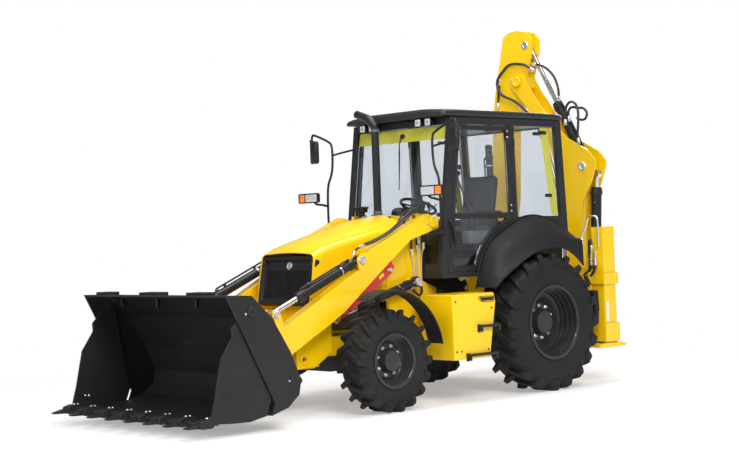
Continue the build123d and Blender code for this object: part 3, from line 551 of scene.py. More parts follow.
def block(low, high, rounding=0.01, arc=4):
    # A sphere's points moved out along each axis by the box's half size less the rounding
    low, high = np.asarray(low, float), np.asarray(high, float)
    half = (high - low) / 2
    v = (np.arange(arc * 4) + 0.5) * 2 * pi / (arc * 4)
    u = (np.arange(arc * 2) + 0.5) * pi / (arc * 2)
    u, v = np.meshgrid(u, v, indexing="ij")
    ball = np.stack((np.sin(u) * np.cos(v), np.sin(u) * np.sin(v), np.cos(u)), -1)
    return surface((low + high) / 2 + np.sign(ball) * (half - rounding) + ball * rounding, caps=True)


def sideBlock(s, low, high, rounding=0.01, arc=4):
    # A block given for the left side, with its y taken times s
    near, far = sorted((s * low[1], s * high[1]))
    return block((low[0], near, low[2]), (high[0], far, high[2]), rounding, arc)


def sideSlab(s, outline, inner, outer):
    # An outline on the XZ plane between two distances from the middle, on the side of s
    return slab(outline, "y", *sorted((s * inner, s * outer)))


def repeated(pairs):
    # Finish names, each as many times as its number says
    return [name for name, count in pairs for _ in range(count)]


# Tyres: a carcass turned about the axle and two rows of lugs that wrap from the side wall over the shoulder
tyreSizes = {
    # centre x and y, radius, width, bead radius, lug height, lugs in a row, their width at foot and top, lean
    "front": dict(x=0.825, y=0.904, r=0.480, w=0.316, bead=0.240, lug=0.027, count=18, foot=0.060,
                  crest=0.040, lean=0.105),
    "rear": dict(x=-1.375, y=0.897, r=0.702, w=0.430, bead=0.362, lug=0.038, count=20, foot=0.084,
                 crest=0.056, lean=0.150),
}


def carcassLine(s):
    # Half section from the bead (0) over the side wall to the tread's middle (1), as across and outwards
    half, tread = s["w"] / 2, s["r"] - s["lug"]
    depth = tread - s["bead"]
    keys = np.array([
        (half - 0.030, s["bead"] - 0.004), (half - 0.026, s["bead"] + 0.018),
        (half - 0.012, s["bead"] + 0.05),
        (half - 0.001, s["bead"] + 0.36 * depth), (half - 0.002, s["bead"] + 0.60 * depth),
        (half - 0.012, tread - 0.055),
        (half - 0.040, tread - 0.016), (half - 0.090, tread - 0.002), (half * 0.4, tread), (0, tread),
    ])
    return smoothPath(np.column_stack((keys, np.zeros(len(keys)))), 6)[:, :2]


def carcass(s, side):
    # The half line and its mirror image, with rings raised by bell curves, turned about the axle
    line = carcassLine(s)
    ribs = line.copy()
    onWall = line[:, 1] < s["r"] - s["lug"] - 0.05
    for centre, height, width in ((0.16, 0.004, 0.006), (0.52, 0.003, 0.010), (0.62, 0.003, 0.006)):
        middle = s["bead"] + centre * (s["r"] - s["bead"])
        ribs[:, 0] += height * np.exp(-((line[:, 1] - middle) / width) ** 2) * onWall
    section = np.vstack((ribs, (ribs * (-1, 1))[::-1]))
    turn = np.linspace(0, 2 * pi, 96, endpoint=False)[:, None]
    x = s["x"] + section[:, 1] * np.cos(turn)
    z = s["r"] + section[:, 1] * np.sin(turn)
    y = np.broadcast_to(side * s["y"] + section[:, 0], x.shape)
    return surface(np.stack((x, y, z), -1), wrapRows=True)


def lugRow(s, side, row):
    # Each lug's section (foot, wall, crest, wall, foot) follows the carcass line and leans round the tyre
    line = carcassLine(s)
    start = np.searchsorted(line[:, 1], s["r"] - s["lug"] - 0.075)
    base = line[start:]
    base = base[np.linspace(0, len(base) - 1, 13).astype(int)]
    gone = np.concatenate(([0], np.cumsum(np.linalg.norm(np.diff(base, axis=0), axis=1))))
    share = gone / gone[-1]
    # The crest rises steeply at the shoulder, so that each lug ends in a block there
    rise = np.clip(share * 5.5, 0, 1)
    crestLine = np.stack((np.minimum(base[:, 0] + 0.012, s["w"] / 2 + 0.002),
                          base[:, 1] + (s["r"] - base[:, 1]) * rise), -1)
    lift = crestLine - base + (0.004, 0) * (1 - rise[:, None])
    height = np.linalg.norm(lift, axis=1)
    out = lift / height[:, None]
    number = np.arange(s["count"])
    longer = np.where(number % 2, 0.90, 1.12)[:, None]
    across = base[None, :, 0] - (longer - 0.96) * s["w"] * 0.45 * share ** 2
    foot, crest = s["foot"] * (1 + 0.25 * (1 - share)), s["crest"] * (1 + 0.25 * (1 - share))
    # around, up: six points of the section, and two under the carcass
    around = np.stack((-foot, -foot, -crest - 0.004, -crest, crest, crest + 0.004, foot, foot), -1) / 2
    up = np.stack((-0.012 + 0 * height, 0 * height + 0.001, height - 0.006, height, height, height - 0.006,
                   0 * height + 0.001, -0.012 + 0 * height), -1)
    angle = 2 * pi * (number + (0.5 if row < 0 else 0)) / s["count"]
    lean = (s["lean"] * share ** 1.15)[None, :, None] * longer[:, :, None]
    turn = angle[:, None, None] + (lean + around[None]) / s["r"]
    radius = base[None, :, 1, None] + up[None] * out[None, :, 1, None]
    t = across[:, :, None] + up[None] * out[None, :, 0, None]
    x = s["x"] + radius * np.cos(turn)
    z = s["r"] + radius * np.sin(turn)
    y = side * s["y"] + row * t
    return surface(np.stack(np.broadcast_arrays(x, y, z), -1), caps=True)


for end, s in tyreSizes.items():
    for name, side in sides:
        makePiece(f"{end}Tyre_{name}", f"{end}_wheel_{name}",
                  [carcass(s, side), lugRow(s, side, 1), lugRow(s, side, -1)], "tyreRubber",
                  stands=(f"{end}_tyre_{name}",), smooth=38)
print("tyres made")

# Rims: t runs outwards from the tyre's middle; stepped rings lead down to the disc, its nuts and its cap
rimSizes = {
    "front": dict(bead=0.240, half=0.134, disc=0.020, cap=0.100, capOut=0.108, nutCircle=0.137, nuts=8,
                  nutSize=0.018),
    "rear": dict(bead=0.362, half=0.191, disc=-0.020, cap=0.120, capOut=0.070, nutCircle=0.167, nuts=10,
                 nutSize=0.019),
}


def rimSection(g):
    # From the disc over three steps to the flange, round it and back inside, as along and outwards
    inside, flange, disc, half = g["bead"] - 0.012, g["bead"] + 0.022, g["disc"], g["half"]
    step = (half - disc) / 4
    steps = [(disc + 0.008, inside - 0.052), (disc + 0.016, inside - 0.040), (disc + step, inside - 0.036)]
    for k in range(1, 4):
        near, level = disc + step * k, inside - 0.036 + 0.012 * k
        steps += [(near + 0.003, level + 0.004), (near + 0.007, level + 0.003), (near + 0.012, level),
                  (near + step, level + 0.001)]
    return np.array(
        [(disc + 0.008, 0.0), (disc + 0.008, g["nutCircle"] + 0.030),
         (disc + 0.002, g["nutCircle"] + 0.042)] + steps
        + [(half + 0.004, inside), (half + 0.011, inside + 0.008), (half + 0.013, flange - 0.010),
           (half + 0.010, flange - 0.002), (half + 0.004, flange), (half, flange - 0.004),
           (half - 0.004, g["bead"]), (-half, g["bead"]), (-half, flange), (-half - 0.012, flange),
           (-half - 0.012, inside), (disc - 0.008, inside - 0.020), (disc - 0.008, 0.0)])


for end, g in rimSizes.items():
    s = tyreSizes[end]
    for name, side in sides:
        centre, axis = (s["x"], side * s["y"], s["r"]), (0, side, 0)
        turn = 2 * pi * (np.arange(g["nuts"]) + 0.35) / g["nuts"]
        nutBase = side * s["y"] + side * (g["disc"] + 0.012)
        nuts = np.stack((s["x"] + g["nutCircle"] * np.cos(turn), 0 * turn + nutBase,
                         s["r"] + g["nutCircle"] * np.sin(turn)), -1)
        face, cap = g["disc"], g["cap"]
        hub = [(face, 0), (face, g["nutCircle"] + 0.028), (face + 0.012, g["nutCircle"] + 0.026),
               (face + 0.013, cap + 0.016), (face + 0.030, cap + 0.006), (g["capOut"] - 0.008, cap),
               (g["capOut"] - 0.002, cap - 0.003), (g["capOut"], cap - 0.009), (g["capOut"], cap * 0.86),
               (g["capOut"] - 0.002, cap * 0.84), (g["capOut"] - 0.002, 0)]
        parts = [lathe(rimSection(g), centre, axis, 72), lathe(hub, centre, axis, 56)]
        finish = ["wheelPaint", "wheelPaint"]
        parts += hexHeads(nuts, axis, g["nutSize"], 0.016)
        parts.append(lathe([(0, 0.008), (0.030, 0.0075), (0.034, 0.004), (0.034, 0), (0, 0)], nuts, axis, 10))
        finish += ["wheelPaint", "brightSteel", "brightSteel"]
        makePiece(f"{end}Rim_{name}", f"{end}_wheel_{name}", parts, finish, stands=(f"{end}_rim_{name}",))
print("rims made")

# The grille stands in the hood's sloping front: u across, v up the slope, w out of it
slope = {"origin": (1.290, 0, 1.000), "across": (0, 1, 0), "up": (-0.184, 0, 0.983), "out": (0.983, 0, 0.184)}


def onSlope(u, v, w):
    # The origin plus u across, v up and w out
    o, a, b, c = (np.array(slope[k], float) for k in ("origin", "across", "up", "out"))
    u, v, w = (np.asarray(k, float)[..., None] for k in np.broadcast_arrays(u, v, w))
    return o + u * a + v * b + w * c


def roundedRing(halfA, halfB, radius, count=10):
    # Half sizes less the radius, plus the radius along a turning arrow: a rectangle with round corners
    turn = np.linspace(0, 2 * pi, count * 4, endpoint=False) + pi / (count * 4)
    return np.column_stack((np.sign(np.cos(turn)) * (halfA - radius) + radius * np.cos(turn),
                            np.sign(np.sin(turn)) * (halfB - radius) + radius * np.sin(turn)))


grilleShape = {"low": 0.008, "high": 0.488, "half": 0.399, "corner": 0.045, "bars": 26,
               "discAt": (0.012, 0.392), "disc": 0.038}


def makeGrille(g):
    # Rounded rings step over the frame down to the panel; slats, bands, slots and a plain disc lie on it
    middle, tall = (g["low"] + g["high"]) / 2, (g["high"] - g["low"]) / 2
    # Rings from the back over the rounded rim down to the panel: inset from the edge and height
    profile = ((0.000, -0.058), (0.000, -0.012), (0.005, 0.000), (0.016, 0.006), (0.034, 0.004),
               (0.046, -0.006), (0.052, -0.020))
    rings = [onSlope(*(roundedRing(g["half"] - inset, tall - inset, g["corner"] - inset * 0.5)
                       + (0, middle)).T, w) for inset, w in profile]
    frame = surface(rings, caps=True)
    # Slats across the panel, each an oval bar that follows the panel's slight bulge
    v = np.linspace(g["low"] + 0.085, g["high"] - 0.150, g["bars"])[:, None, None]
    u = np.linspace(-0.300, 0.300, 13)[None, :, None]
    turn = np.linspace(0, 2 * pi, 8, endpoint=False)[None, None, :]
    bulge = 0.004 * np.cos(u / 0.300 * pi / 2)
    slats = surface(onSlope(u + 0 * turn + 0 * v, v + 0.0035 * np.cos(turn) + 0 * u,
                            -0.019 + bulge + 0.004 * np.sin(turn) + 0 * v), caps=True)
    bands = []
    for u0, u1, v0, v1 in ((-0.31, 0.31, 0.345, 0.352), (-0.316, -0.306, 0.085, 0.345),
                           (0.306, 0.316, 0.085, 0.345)):
        ring = np.array([(u0, v0), (u1, v0), (u1, v1), (u0, v1)])
        bands.append(surface([onSlope(ring[:, 0], ring[:, 1], w) for w in (-0.021, -0.012)], caps=True))
    slots = []
    for s in (1, -1):
        ring = roundedRing(0.011, 0.020, 0.010, 4) + (s * 0.352, g["high"] - 0.070)
        slots.append(surface([onSlope(ring[:, 0], ring[:, 1], w) for w in (-0.004, 0.0065)], caps=True))
    disc = lathe([(-0.024, 0), (-0.024, g["disc"]), (-0.013, g["disc"]), (-0.010, g["disc"] - 0.004),
                  (-0.010, g["disc"] * 0.8), (-0.012, g["disc"] * 0.78), (-0.012, 0)],
                 onSlope(g["discAt"][0], g["discAt"][1], 0.0), slope["out"], 40)
    parts = [frame, slats] + bands + slots + [disc]
    finish = repeated((("blackMoulding", 5), ("hoseRubber", 2), ("brightSteel", 1)))
    makePiece("grillePanel", "root", parts, finish, stands=("grille",))


makeGrille(grilleShape)

# Hood: at each station along X a half section from the lower edge over the shoulder to the ridge
hoodShape = {
    # x at the ridge, half width, low edge, shoulder height, ridge height
    "stations": ((1.212, 0.394, 1.012, 1.478, 1.512), (1.150, 0.400, 1.000, 1.508, 1.556),
                 (1.000, 0.404, 1.000, 1.560, 1.632), (0.750, 0.404, 1.000, 1.612, 1.705),
                 (0.400, 0.405, 1.000, 1.682, 1.797), (0.005, 0.401, 1.000, 1.735, 1.850)),
    "wall": 0.008, "frontLean": 0.187, "axisHeight": 1.25,
}


def makeHood(h):
    # Wall, quarter-round shoulder and sine crown make each half section; its front leans back with the grille
    table = np.array(h["stations"])
    # Intermediate stations by a smooth curve through the table's rows
    rows = np.hstack([smoothPath(table[:, k], 5) for k in ((0, 1, 2), (3, 4, 4))])[:, :5]
    x, half, low, shoulder, ridge = rows.T[:, :, None]
    a = np.linspace(0, 1, 9)[None, :]
    # Side wall with a slight bulge, a rounded shoulder and a crown that falls in a wide curve from the ridge
    wallY, wallZ = half + 0.006 * np.sin(pi * a), low + (shoulder - 0.045 - low) * a
    b = np.linspace(0, pi / 2, 8)[None, 1:]
    cornerY, cornerZ = half - 0.055 + 0.055 * np.cos(b), shoulder - 0.045 + 0.062 * np.sin(b)
    c = np.linspace(0, 1, 10)[None, 1:]
    topY = (half - 0.055) * (1 - c)
    topZ = shoulder + 0.017 + (ridge - shoulder - 0.017) * np.sin(c * pi / 2) ** 0.9
    y = np.hstack((wallY, cornerY, topY))
    z = np.hstack((wallZ, cornerZ, topZ))
    # A crease runs along the side below the shoulder
    y = y - 0.007 * np.exp(-((z - (shoulder - 0.110)) / 0.012) ** 2)
    y, z = np.hstack((y, -y[:, -2::-1])), np.hstack((z, z[:, -2::-1]))
    lean = np.clip((x - 1.0) / 0.226, 0, 1)
    across = x + lean * h["frontLean"] * (ridge - z) * 0.92
    outer = np.stack((across, y, z), -1)
    inward = np.stack((0 * y, -y, h["axisHeight"] - z), -1)
    inner = outer + h["wall"] * unit(inward)
    section = np.concatenate((outer, inner[:, ::-1]), axis=1)
    barrels = [lathe([(-0.035, 0), (-0.035, 0.012), (0.035, 0.012), (0.035, 0)],
                     [(0.018, s * 0.155, 1.820) for s in (1, -1)], (0, 1, 0), 16)]
    makePiece("hoodShell", "hood", [surface(section, caps=True)] + barrels, ["yellowPaint", "blackPaint"],
              stands=("hood",), smooth=40)


makeHood(hoodShape)
print("hood and grille made")

# Roof: stations along X; each section's edge is round and its crown nearly flat
roofShape = {
    # x, half width, underside, edge height, crown height
    "stations": ((-2.068, 0.680, 2.812, 2.836, 2.842), (-2.040, 0.718, 2.804, 2.858, 2.870),
                 (-1.900, 0.735, 2.802, 2.872, 2.888), (-1.300, 0.737, 2.802, 2.876, 2.897),
                 (-0.700, 0.737, 2.802, 2.876, 2.902), (-0.320, 0.735, 2.804, 2.868, 2.900),
                 (-0.250, 0.722, 2.806, 2.850, 2.880), (-0.232, 0.690, 2.812, 2.832, 2.850)),
}


def makeRoof(r):
    # A half circle at each edge, and between them a crown
    # that rises with a power of the distance from the edge
    table = np.array(r["stations"])
    rows = np.hstack([smoothPath(table[:, k], 6) for k in ((0, 1, 2), (3, 4, 4))])[:, :5]
    x, half, low, edge, crown = rows.T[:, :, None]
    edgeRound = (edge - low) / 2
    b = np.linspace(-pi / 2, pi / 2, 9)[None, :]
    sideY, sideZ = half - edgeRound + edgeRound * np.cos(b), low + edgeRound + edgeRound * np.sin(b)
    c = np.linspace(1, -1, 25)[None, 1:-1]
    topY = (half - edgeRound) * c
    # The crown is flat in the middle and falls to the edge, with a shallow channel along each side
    rise = np.clip((1 - np.abs(c)) * 2.2, 0, 1) ** 0.6
    channel = 0.006 * np.exp(-((np.abs(c) - 0.86) / 0.03) ** 2)
    topZ = edge + (crown - edge) * rise - channel
    y = np.hstack((sideY, topY, -sideY[:, ::-1]))
    z = np.hstack((sideZ, topZ, sideZ[:, ::-1]))
    points = np.stack((x + 0 * y, y, z), -1)
    makePiece("roofLid", "root", [surface(points, caps=True)], "cabPaint", stands=("cab_roof",),
              smooth=35)


makeRoof(roofShape)
print("roof made")

# Mirrors on bent tubes: the left one, as points and as boxes with their rounding
mirrorShape = {
    "tube": ((-0.046, 0.735, 1.655), (-0.046, 0.815, 1.690), (-0.046, 0.836, 1.780), (-0.046, 0.828, 2.150),
             (-0.050, 0.770, 2.300), (-0.052, 0.748, 2.420), (-0.052, 0.752, 2.590), (-0.055, 0.810, 2.650),
             (-0.055, 1.020, 2.730), (-0.055, 1.066, 2.722), (-0.055, 1.076, 2.660)),
    "stay": ((-0.052, 0.758, 2.500), (-0.180, 0.752, 2.530), (-0.330, 0.733, 2.562)),
    "lampArm": ((-0.046, 0.826, 1.970), (0.030, 0.835, 1.985), (0.100, 0.850, 1.995), (0.108, 0.850, 2.012)),
    "tubeRadius": 0.0125, "stayRadius": 0.011, "armRadius": 0.012,
    "foot": ((-0.230, 0.715, 1.640), (-0.034, 0.745, 1.680), 0.004),
    "head": ((-0.078, 0.985, 2.430), (-0.036, 1.100, 2.672), 0.019, 6),
    "clamp": ((-0.068, 1.060, 2.640), (-0.036, 1.094, 2.690), 0.008),
    "glassHalf": (0.050, 0.112), "glassCorner": 0.014, "glassAt": (1.0425, 2.551),
    "glassX": (-0.0800, -0.0770),
}


def makeMirror(name, s, m):
    # The tube, its stay and the lamp's arm carry round sections; the glass is a rounded rectangle on the head
    flip = (1, s, 1)
    parts = [tube(smoothPath(m["tube"]) * flip, m["tubeRadius"], 12),
             tube(np.array(m["stay"]) * flip, m["stayRadius"], 10),
             tube(smoothPath(m["lampArm"]) * flip, m["armRadius"], 10)]
    parts += [sideBlock(s, *m[box]) for box in ("foot", "head", "clamp")]
    makePiece(f"mirrorArm_{name}", "root", parts, "blackPaint", stands=("mirror_arms",) if s == 1 else ())
    y, z = m["glassAt"]
    glass = roundedRing(*m["glassHalf"], m["glassCorner"], 5) + (s * y, z)
    makePiece(f"mirrorGlass_{name}", "root", [slab(glass, "x", *m["glassX"])], "mirrorGlass")


for name, s in sides:
    makeMirror(name, s, mirrorShape)

# Lamps beside the screen, and two square work lamps on each side under the roof's front edge
lampShape = {
    # rings of the housing: half width, half height, corner, x from the lamp's own
    "x": 0.125, "z": 2.060, "middle": 0.914,
    "rings": ((0.090, 0.030, 0.014, -0.052), (0.118, 0.040, 0.016, -0.030), (0.140, 0.047, 0.018, -0.004),
              (0.153, 0.051, 0.016, 0.004), (0.156, 0.052, 0.016, 0.034), (0.153, 0.050, 0.015, 0.040),
              (0.146, 0.043, 0.012, 0.040), (0.144, 0.041, 0.011, 0.022)),
    # lenses: middle and half width; their rings: share of the size, x from the lamp's own
    "clear": (0.868, 0.094), "orange": (1.012, 0.042), "lensHalf": 0.040, "lensCorner": 0.008,
    "lensRings": ((1, 0.020), (1, 0.030), (0.97, 0.036), (0.6, 0.039), (0.2, 0.040)),
    "divider": ((0.143, 0.962, 2.018), (0.165, 0.970, 2.102), 0.002),
    "stem": ((0.115, 0.850, 1.998), (0.115, 0.850, 2.025)), "stemRadius": 0.016,
    # work lamps: middles, height, half sizes, corner; their rings: share of the size, x
    "workMiddles": (0.345, 0.485), "workZ": 2.762, "workHalf": (0.046, 0.040), "workCorner": 0.012,
    "workRings": ((0.62, -0.330), (0.86, -0.300), (1, -0.282), (1, -0.252), (0.88, -0.250), (0.86, -0.262)),
    "workGlass": ((0.85, -0.264), (0.84, -0.254), (0.5, -0.251), (0.1, -0.250)),
}


def faceRing(x, y, z, halfY, halfZ, corner, count):
    # A rounded rectangle that faces along X, about a point
    ring = roundedRing(halfY, halfZ, corner, count)
    return np.column_stack((np.full(len(ring), x), y + ring[:, 0], z + ring[:, 1]))


def makeLens(m, s, middle, half):
    # Rings that shrink as they come forward
    return surface([faceRing(m["x"] + x, s * middle, m["z"], half * k, m["lensHalf"] * k, m["lensCorner"], 6)
                    for k, x in m["lensRings"]], caps=True)


def makeWorkLamp(m, y, rings):
    # Rings of one square lamp, about its middle
    halfY, halfZ = m["workHalf"]
    return surface([faceRing(x, y, m["workZ"], halfY * k, halfZ * k, m["workCorner"], 5) for k,
                    x in m[rings]], caps=True)


def makeLamps(m):
    # Rounded rings, one behind another, make each housing and each lens
    shells, clear, orange, bright = [], [], [], []
    for s in (1, -1):
        shells.append(surface([faceRing(m["x"] + x, s * m["middle"], m["z"], *size, 6)
                               for *size, x in m["rings"]], caps=True))
        clear.append(makeLens(m, s, *m["clear"]))
        orange.append(makeLens(m, s, *m["orange"]))
        shells.append(sideBlock(s, *m["divider"]))
        shells.append(tube(np.array(m["stem"]) * (1, s, 1), m["stemRadius"], 12))
        for y in m["workMiddles"]:
            shells.append(makeWorkLamp(m, s * y, "workRings"))
            # The work lamps' glass takes the clear lens and its painted glow
            bright.append(makeWorkLamp(m, s * y, "workGlass"))
            shells.append(block((-0.305, s * y - 0.006, 2.796), (-0.275, s * y + 0.006, 2.812), 0.002))
    finish = repeated((("blackMoulding", len(shells)), ("clearLens", len(clear)), ("orangeLens", len(orange)),
                       ("clearLens", len(bright))))
    makePiece("frontLamps", "root", shells + clear + orange + bright, finish, stands=("lamps",))


makeLamps(lampShape)
print("mirrors and lamps made")

# Step boxes with their pockets, whose shade is painted as black sheets, and tread bars on end brackets
stepShape = {
    "outline": ((0.080, 0.420), (0.080, 1.050), (-0.498, 1.050), (-0.520, 0.960), (-0.420, 0.420)),
    "inner": 0.640, "outer": 1.080,
    "brace": ((-0.43, 0.60), (-0.345, 0.60), (-0.345, 0.69), (-0.43, 0.69)), "braceInner": 0.390,
    # tread bars: front and rear end, upper side
    "bars": ((-0.256, -0.530, 0.740), (-0.089, -0.480, 0.470)), "barOut": (1.086, 1.134), "barThick": 0.024,
    "studs": 9, "stud": ((0, 0.0065), (0.0035, 0.0055), (0.0035, 0)), "studInset": 0.012,
    "pocketShade": ((-0.290, 1.008), (-0.318, 0.972), (-0.482, 0.972), (-0.502, 1.006)), "pocketShadeInner": 1.060,
    "seam": ((-0.506, 1.012), (-0.286, 1.014), (-0.322, 0.966), (-0.486, 0.966), (-0.506, 1.012)),
    "bolts": ((0.045, 0.98), (0.045, 0.50), (-0.395, 0.50), (-0.455, 0.90), (-0.02, 0.50)),
}


def makeSteps(name, s, g):
    # The box is its outline carried between two sides; bars hang between two brackets and carry rows of studs
    parts = [sideSlab(s, g["outline"], g["inner"], g["outer"]),
             sideSlab(s, g["brace"], g["braceInner"], g["inner"])]
    makePiece(f"stepBox_{name}", "root", parts, "yellowPaint", stands=("step_boxes",) if s == 1 else (),
              bevel=0.009)
    bars, trims = [], []
    near, far = g["barOut"]
    for front, rear, z in g["bars"]:
        bars.append(sideBlock(s, (rear, near, z - g["barThick"]), (front, far, z), 0.004))
        for x in (front - 0.012, rear + 0.012):
            bars.append(sideBlock(s, (x - 0.009, near, z - 0.062), (x + 0.009, far, z + 0.004), 0.003))
            bars.append(sideBlock(s, (x - 0.020, 1.078, z - 0.070), (x + 0.020, 1.088, z + 0.010), 0.003))
        across = np.linspace(rear + 0.03, front - 0.03, g["studs"])
        for y in sorted((s * (near + g["studInset"]), s * (far - g["studInset"]))):
            trims.append(lathe(g["stud"], [(x, y, z - 0.001) for x in across], (0, 0, 1), 8))
    # Pocket below the upper edge, with its lip, drawn as a black sheet that is painted shade, and the seam of
    # the cover
    out = g["outer"] + 0.0015
    bars.append(sideSlab(s, g["pocketShade"], g["pocketShadeInner"], out))
    trims.append(tube(smoothPath([(x, s * out, z) for x, z in g["seam"]], 4), 0.0035, 6))
    trims += hexHeads([(x, s * 1.0805, z) for x, z in g["bolts"]], (0, s, 0), 0.008, 0.006)
    makePiece(f"stepBars_{name}", "root", bars, "blackPaint")
    makePiece(f"stepTrim_{name}", "root", trims, "blackPaint")


for name, s in sides:
    makeSteps(name, s, stepShape)

# Air cleaner's cap: a neck, a bowl, a wide rim and a domed lid, as height and radius
cleanerShape = {
    "at": (-0.060, -0.330, 0),
    "bowl": ((1.836, 0), (1.836, 0.034), (1.885, 0.034), (1.888, 0.060), (1.896, 0.064), (1.924, 0.064),
             (1.928, 0.078), (1.934, 0.080), (1.940, 0.078), (1.945, 0.060), (1.948, 0.040), (1.950, 0)),
    "collar": ((1.845, 0.034), (1.845, 0.040), (1.860, 0.040), (1.860, 0.034)),
}
makePiece("cleanerCap", "root", [lathe(cleanerShape["bowl"], cleanerShape["at"], (0, 0, 1), 40),
                                 lathe(cleanerShape["collar"], cleanerShape["at"], (0, 0, 1), 32)],
          "blackMoulding", stands=("air_precleaner",))
print("steps and air cleaner made")

# Rear fenders: four lines across the tyre
rearFenderShape = {"thick": 0.014, "around": 60, "across": 26, "lines": (
    (0.735, ((-0.600, 1.095), (-0.672, 1.262), (-0.770, 1.455), (-0.914, 1.583), (-1.130, 1.692),
             (-1.382, 1.790), (-1.600, 1.790), (-1.912, 1.709), (-2.090, 1.600))),
    (0.890, ((-0.586, 1.094), (-0.664, 1.236), (-0.800, 1.400), (-0.985, 1.524), (-1.200, 1.610),
             (-1.435, 1.672), (-1.640, 1.672), (-1.856, 1.612), (-2.015, 1.550))),
    (1.015, ((-0.566, 1.092), (-0.705, 1.208), (-0.890, 1.318), (-1.085, 1.416), (-1.285, 1.480),
             (-1.483, 1.512), (-1.655, 1.526), (-1.800, 1.530), (-1.955, 1.520))),
    (1.040, ((-0.561, 1.090), (-0.712, 1.192), (-0.902, 1.296), (-1.094, 1.390), (-1.288, 1.448),
             (-1.483, 1.466), (-1.640, 1.450), (-1.790, 1.376), (-1.935, 1.262))))}


def makeRearFender(name, s, f):
    # Each line is smoothed along its length; cubics join them,
    # with the harmonic mean of the neighbours' steps as slope.
    # The sheet gets its thickness along each line's normal, downwards
    rails = np.array([smoothPath([(x, y, z) for x, z in line], f["around"]) for y, line in f["lines"]])
    at = np.array([y for y, line in f["lines"]])
    gap = np.diff(at)[:, None, None]
    step = np.diff(rails, axis=0) / gap
    paired = step[:-1] * step[1:]
    total = step[:-1] + step[1:]
    inner = np.where(paired > 0, 2 * paired / np.where(np.abs(total) < 1e-9, 1, total), 0)
    slope = np.concatenate((step[:1], inner, step[-1:]))
    y = np.linspace(at[0], at[-1], f["across"])
    part = np.clip(np.searchsorted(at, y) - 1, 0, len(gap) - 1)
    t = ((y - at[part]) / gap[part, 0, 0])[:, None, None]
    wide = gap[part]
    sheet = (rails[part] * (2 * t ** 3 - 3 * t ** 2 + 1) + slope[part] * wide * (t ** 3 - 2 * t ** 2 + t)
             + rails[part + 1] * (3 * t ** 2 - 2 * t ** 3) + slope[part + 1] * wide * (t ** 3 - t ** 2))
    sheet[:, :, 1] = y[:, None]
    along = unit(np.gradient(sheet[:, :, (0, 2)], axis=1))
    below = sheet.copy()
    below[:, :, 0] -= f["thick"] * along[:, :, 1]
    below[:, :, 2] += f["thick"] * along[:, :, 0]
    flip = np.sign((below - sheet)[:, :, 2].mean())
    below = sheet + (below - sheet) * -flip
    ring = np.concatenate((sheet, below[:, ::-1]), axis=1)
    ring[:, :, 1] *= s
    makePiece(f"rearFender_{name}", "root", [surface(ring, caps=True)], "blackMoulding",
              stands=("rear_fenders",) if s == 1 else (), smooth=50)


for name, s in sides:
    makeRearFender(name, s, rearFenderShape)
print("rear fenders done")

# Front fenders: a strip round the axle whose outer edge
# turns down in a lip; the inner front corner is cut back
fenderShape = {"x": 0.825, "z": 0.480, "r": 0.650, "thick": 0.008, "from": 62, "to": 170, "inner": 0.838,
               "outer": 1.048, "lip": 0.026, "boltsAt": (14, 28)}


def makeFrontFender(name, s, f):
    # A flat strip that turns down in a quarter circle at its
    # outer edge, carried round the axle; two bolts hold it
    angle = np.radians(np.linspace(f["from"], f["to"], 41))[:, None]
    x0 = f["x"] + f["r"] * np.cos(angle)
    inner = np.maximum(f["inner"], 0.832 + (x0 - 0.940) * 0.2308)
    b = np.linspace(0, 1, 12)[None, :]
    flat = inner + (f["outer"] - 0.020 - inner) * b
    turn = np.linspace(0, pi / 2, 6)[None, 1:]
    y = np.hstack((flat, f["outer"] - 0.020 + 0.020 * np.sin(turn) + 0 * angle, f["outer"] + 0 * angle))
    r = np.hstack((f["r"] + f["thick"] + 0 * flat - 0.004 * np.cos(b * pi) ** 8 * (b < 0.5),
                   f["r"] + f["thick"] - 0.020 + 0.020 * np.cos(turn) + 0 * angle,
                   f["r"] + f["thick"] - f["lip"] + 0 * angle))
    # Wall: the same line moved in by the thickness, taken back to its start
    runY, runR = np.gradient(y, axis=1), np.gradient(r, axis=1)
    size = np.hypot(runY, runR)
    innerY, innerR = y + runR / size * f["thick"], r - runY / size * f["thick"]
    y, r = np.hstack((y, innerY[:, ::-1])), np.hstack((r, innerR[:, ::-1]))
    points = np.stack((f["x"] + r * np.cos(angle), s * y, f["z"] + r * np.sin(angle)), -1)
    bolts, top = [], f["r"] + f["thick"]
    for turned in angle[list(f["boltsAt"]), 0]:
        way = (cos(turned), 0, sin(turned))
        bolts += hexHeads([(f["x"] + top * way[0], s * 0.90, f["z"] + top * way[2])], way, 0.009, 0.006)
    makePiece(f"frontFender_{name}", f"front_steering_{name}", [surface(points, caps=True)] + bolts,
              "blackMoulding", stands=(f"front_fender_{name}",), smooth=40)


for name, s in sides:
    makeFrontFender(name, s, fenderShape)

# Cylinders: body, the two eyes, barrel radius, length of
# the barrel, rod radius, the pipe's side, and whether one
# stands on each side of the machine
rams = {
    "lift": dict(body="lift_barrels", p=(0.043, 0.540, 1.179), q=(1.124, 0.540, 0.885), r=0.042, shut=0.800,
                 rod=0.026, out=(0, 1, 0.1), both=True),
    "tilt": dict(body="tilt_barrels", p=(0.867, 0.625, 1.419), q=(1.936, 0.625, 0.969), r=0.044, shut=0.820,
                 rod=0.026, out=(0.25, 0.25, 1), both=True),
    "boom": dict(body="boom_ram_barrel", p=(-2.885, 0.420, 1.130), q=(-2.885, 0.480, 2.250), r=0.058,
                 shut=0.960, rod=0.032, out=(1, 0.5, 0), both=False),
    "dipper": dict(body="dipper_ram_barrel", p=(-2.885, 0.372, 2.330), q=(-2.885, -0.450, 3.790), r=0.055,
                   shut=0.860, rod=0.030, out=(0.3, 1, 0.5), both=False),
    "hoeBucket": dict(body="hoe_bucket_ram_barrel", p=(-2.885, -1.150, 2.650), q=(-2.885, -1.110, 1.470),
                      r=0.042, shut=0.700, rod=0.025, out=(0.4, -1, 0), both=False),
}


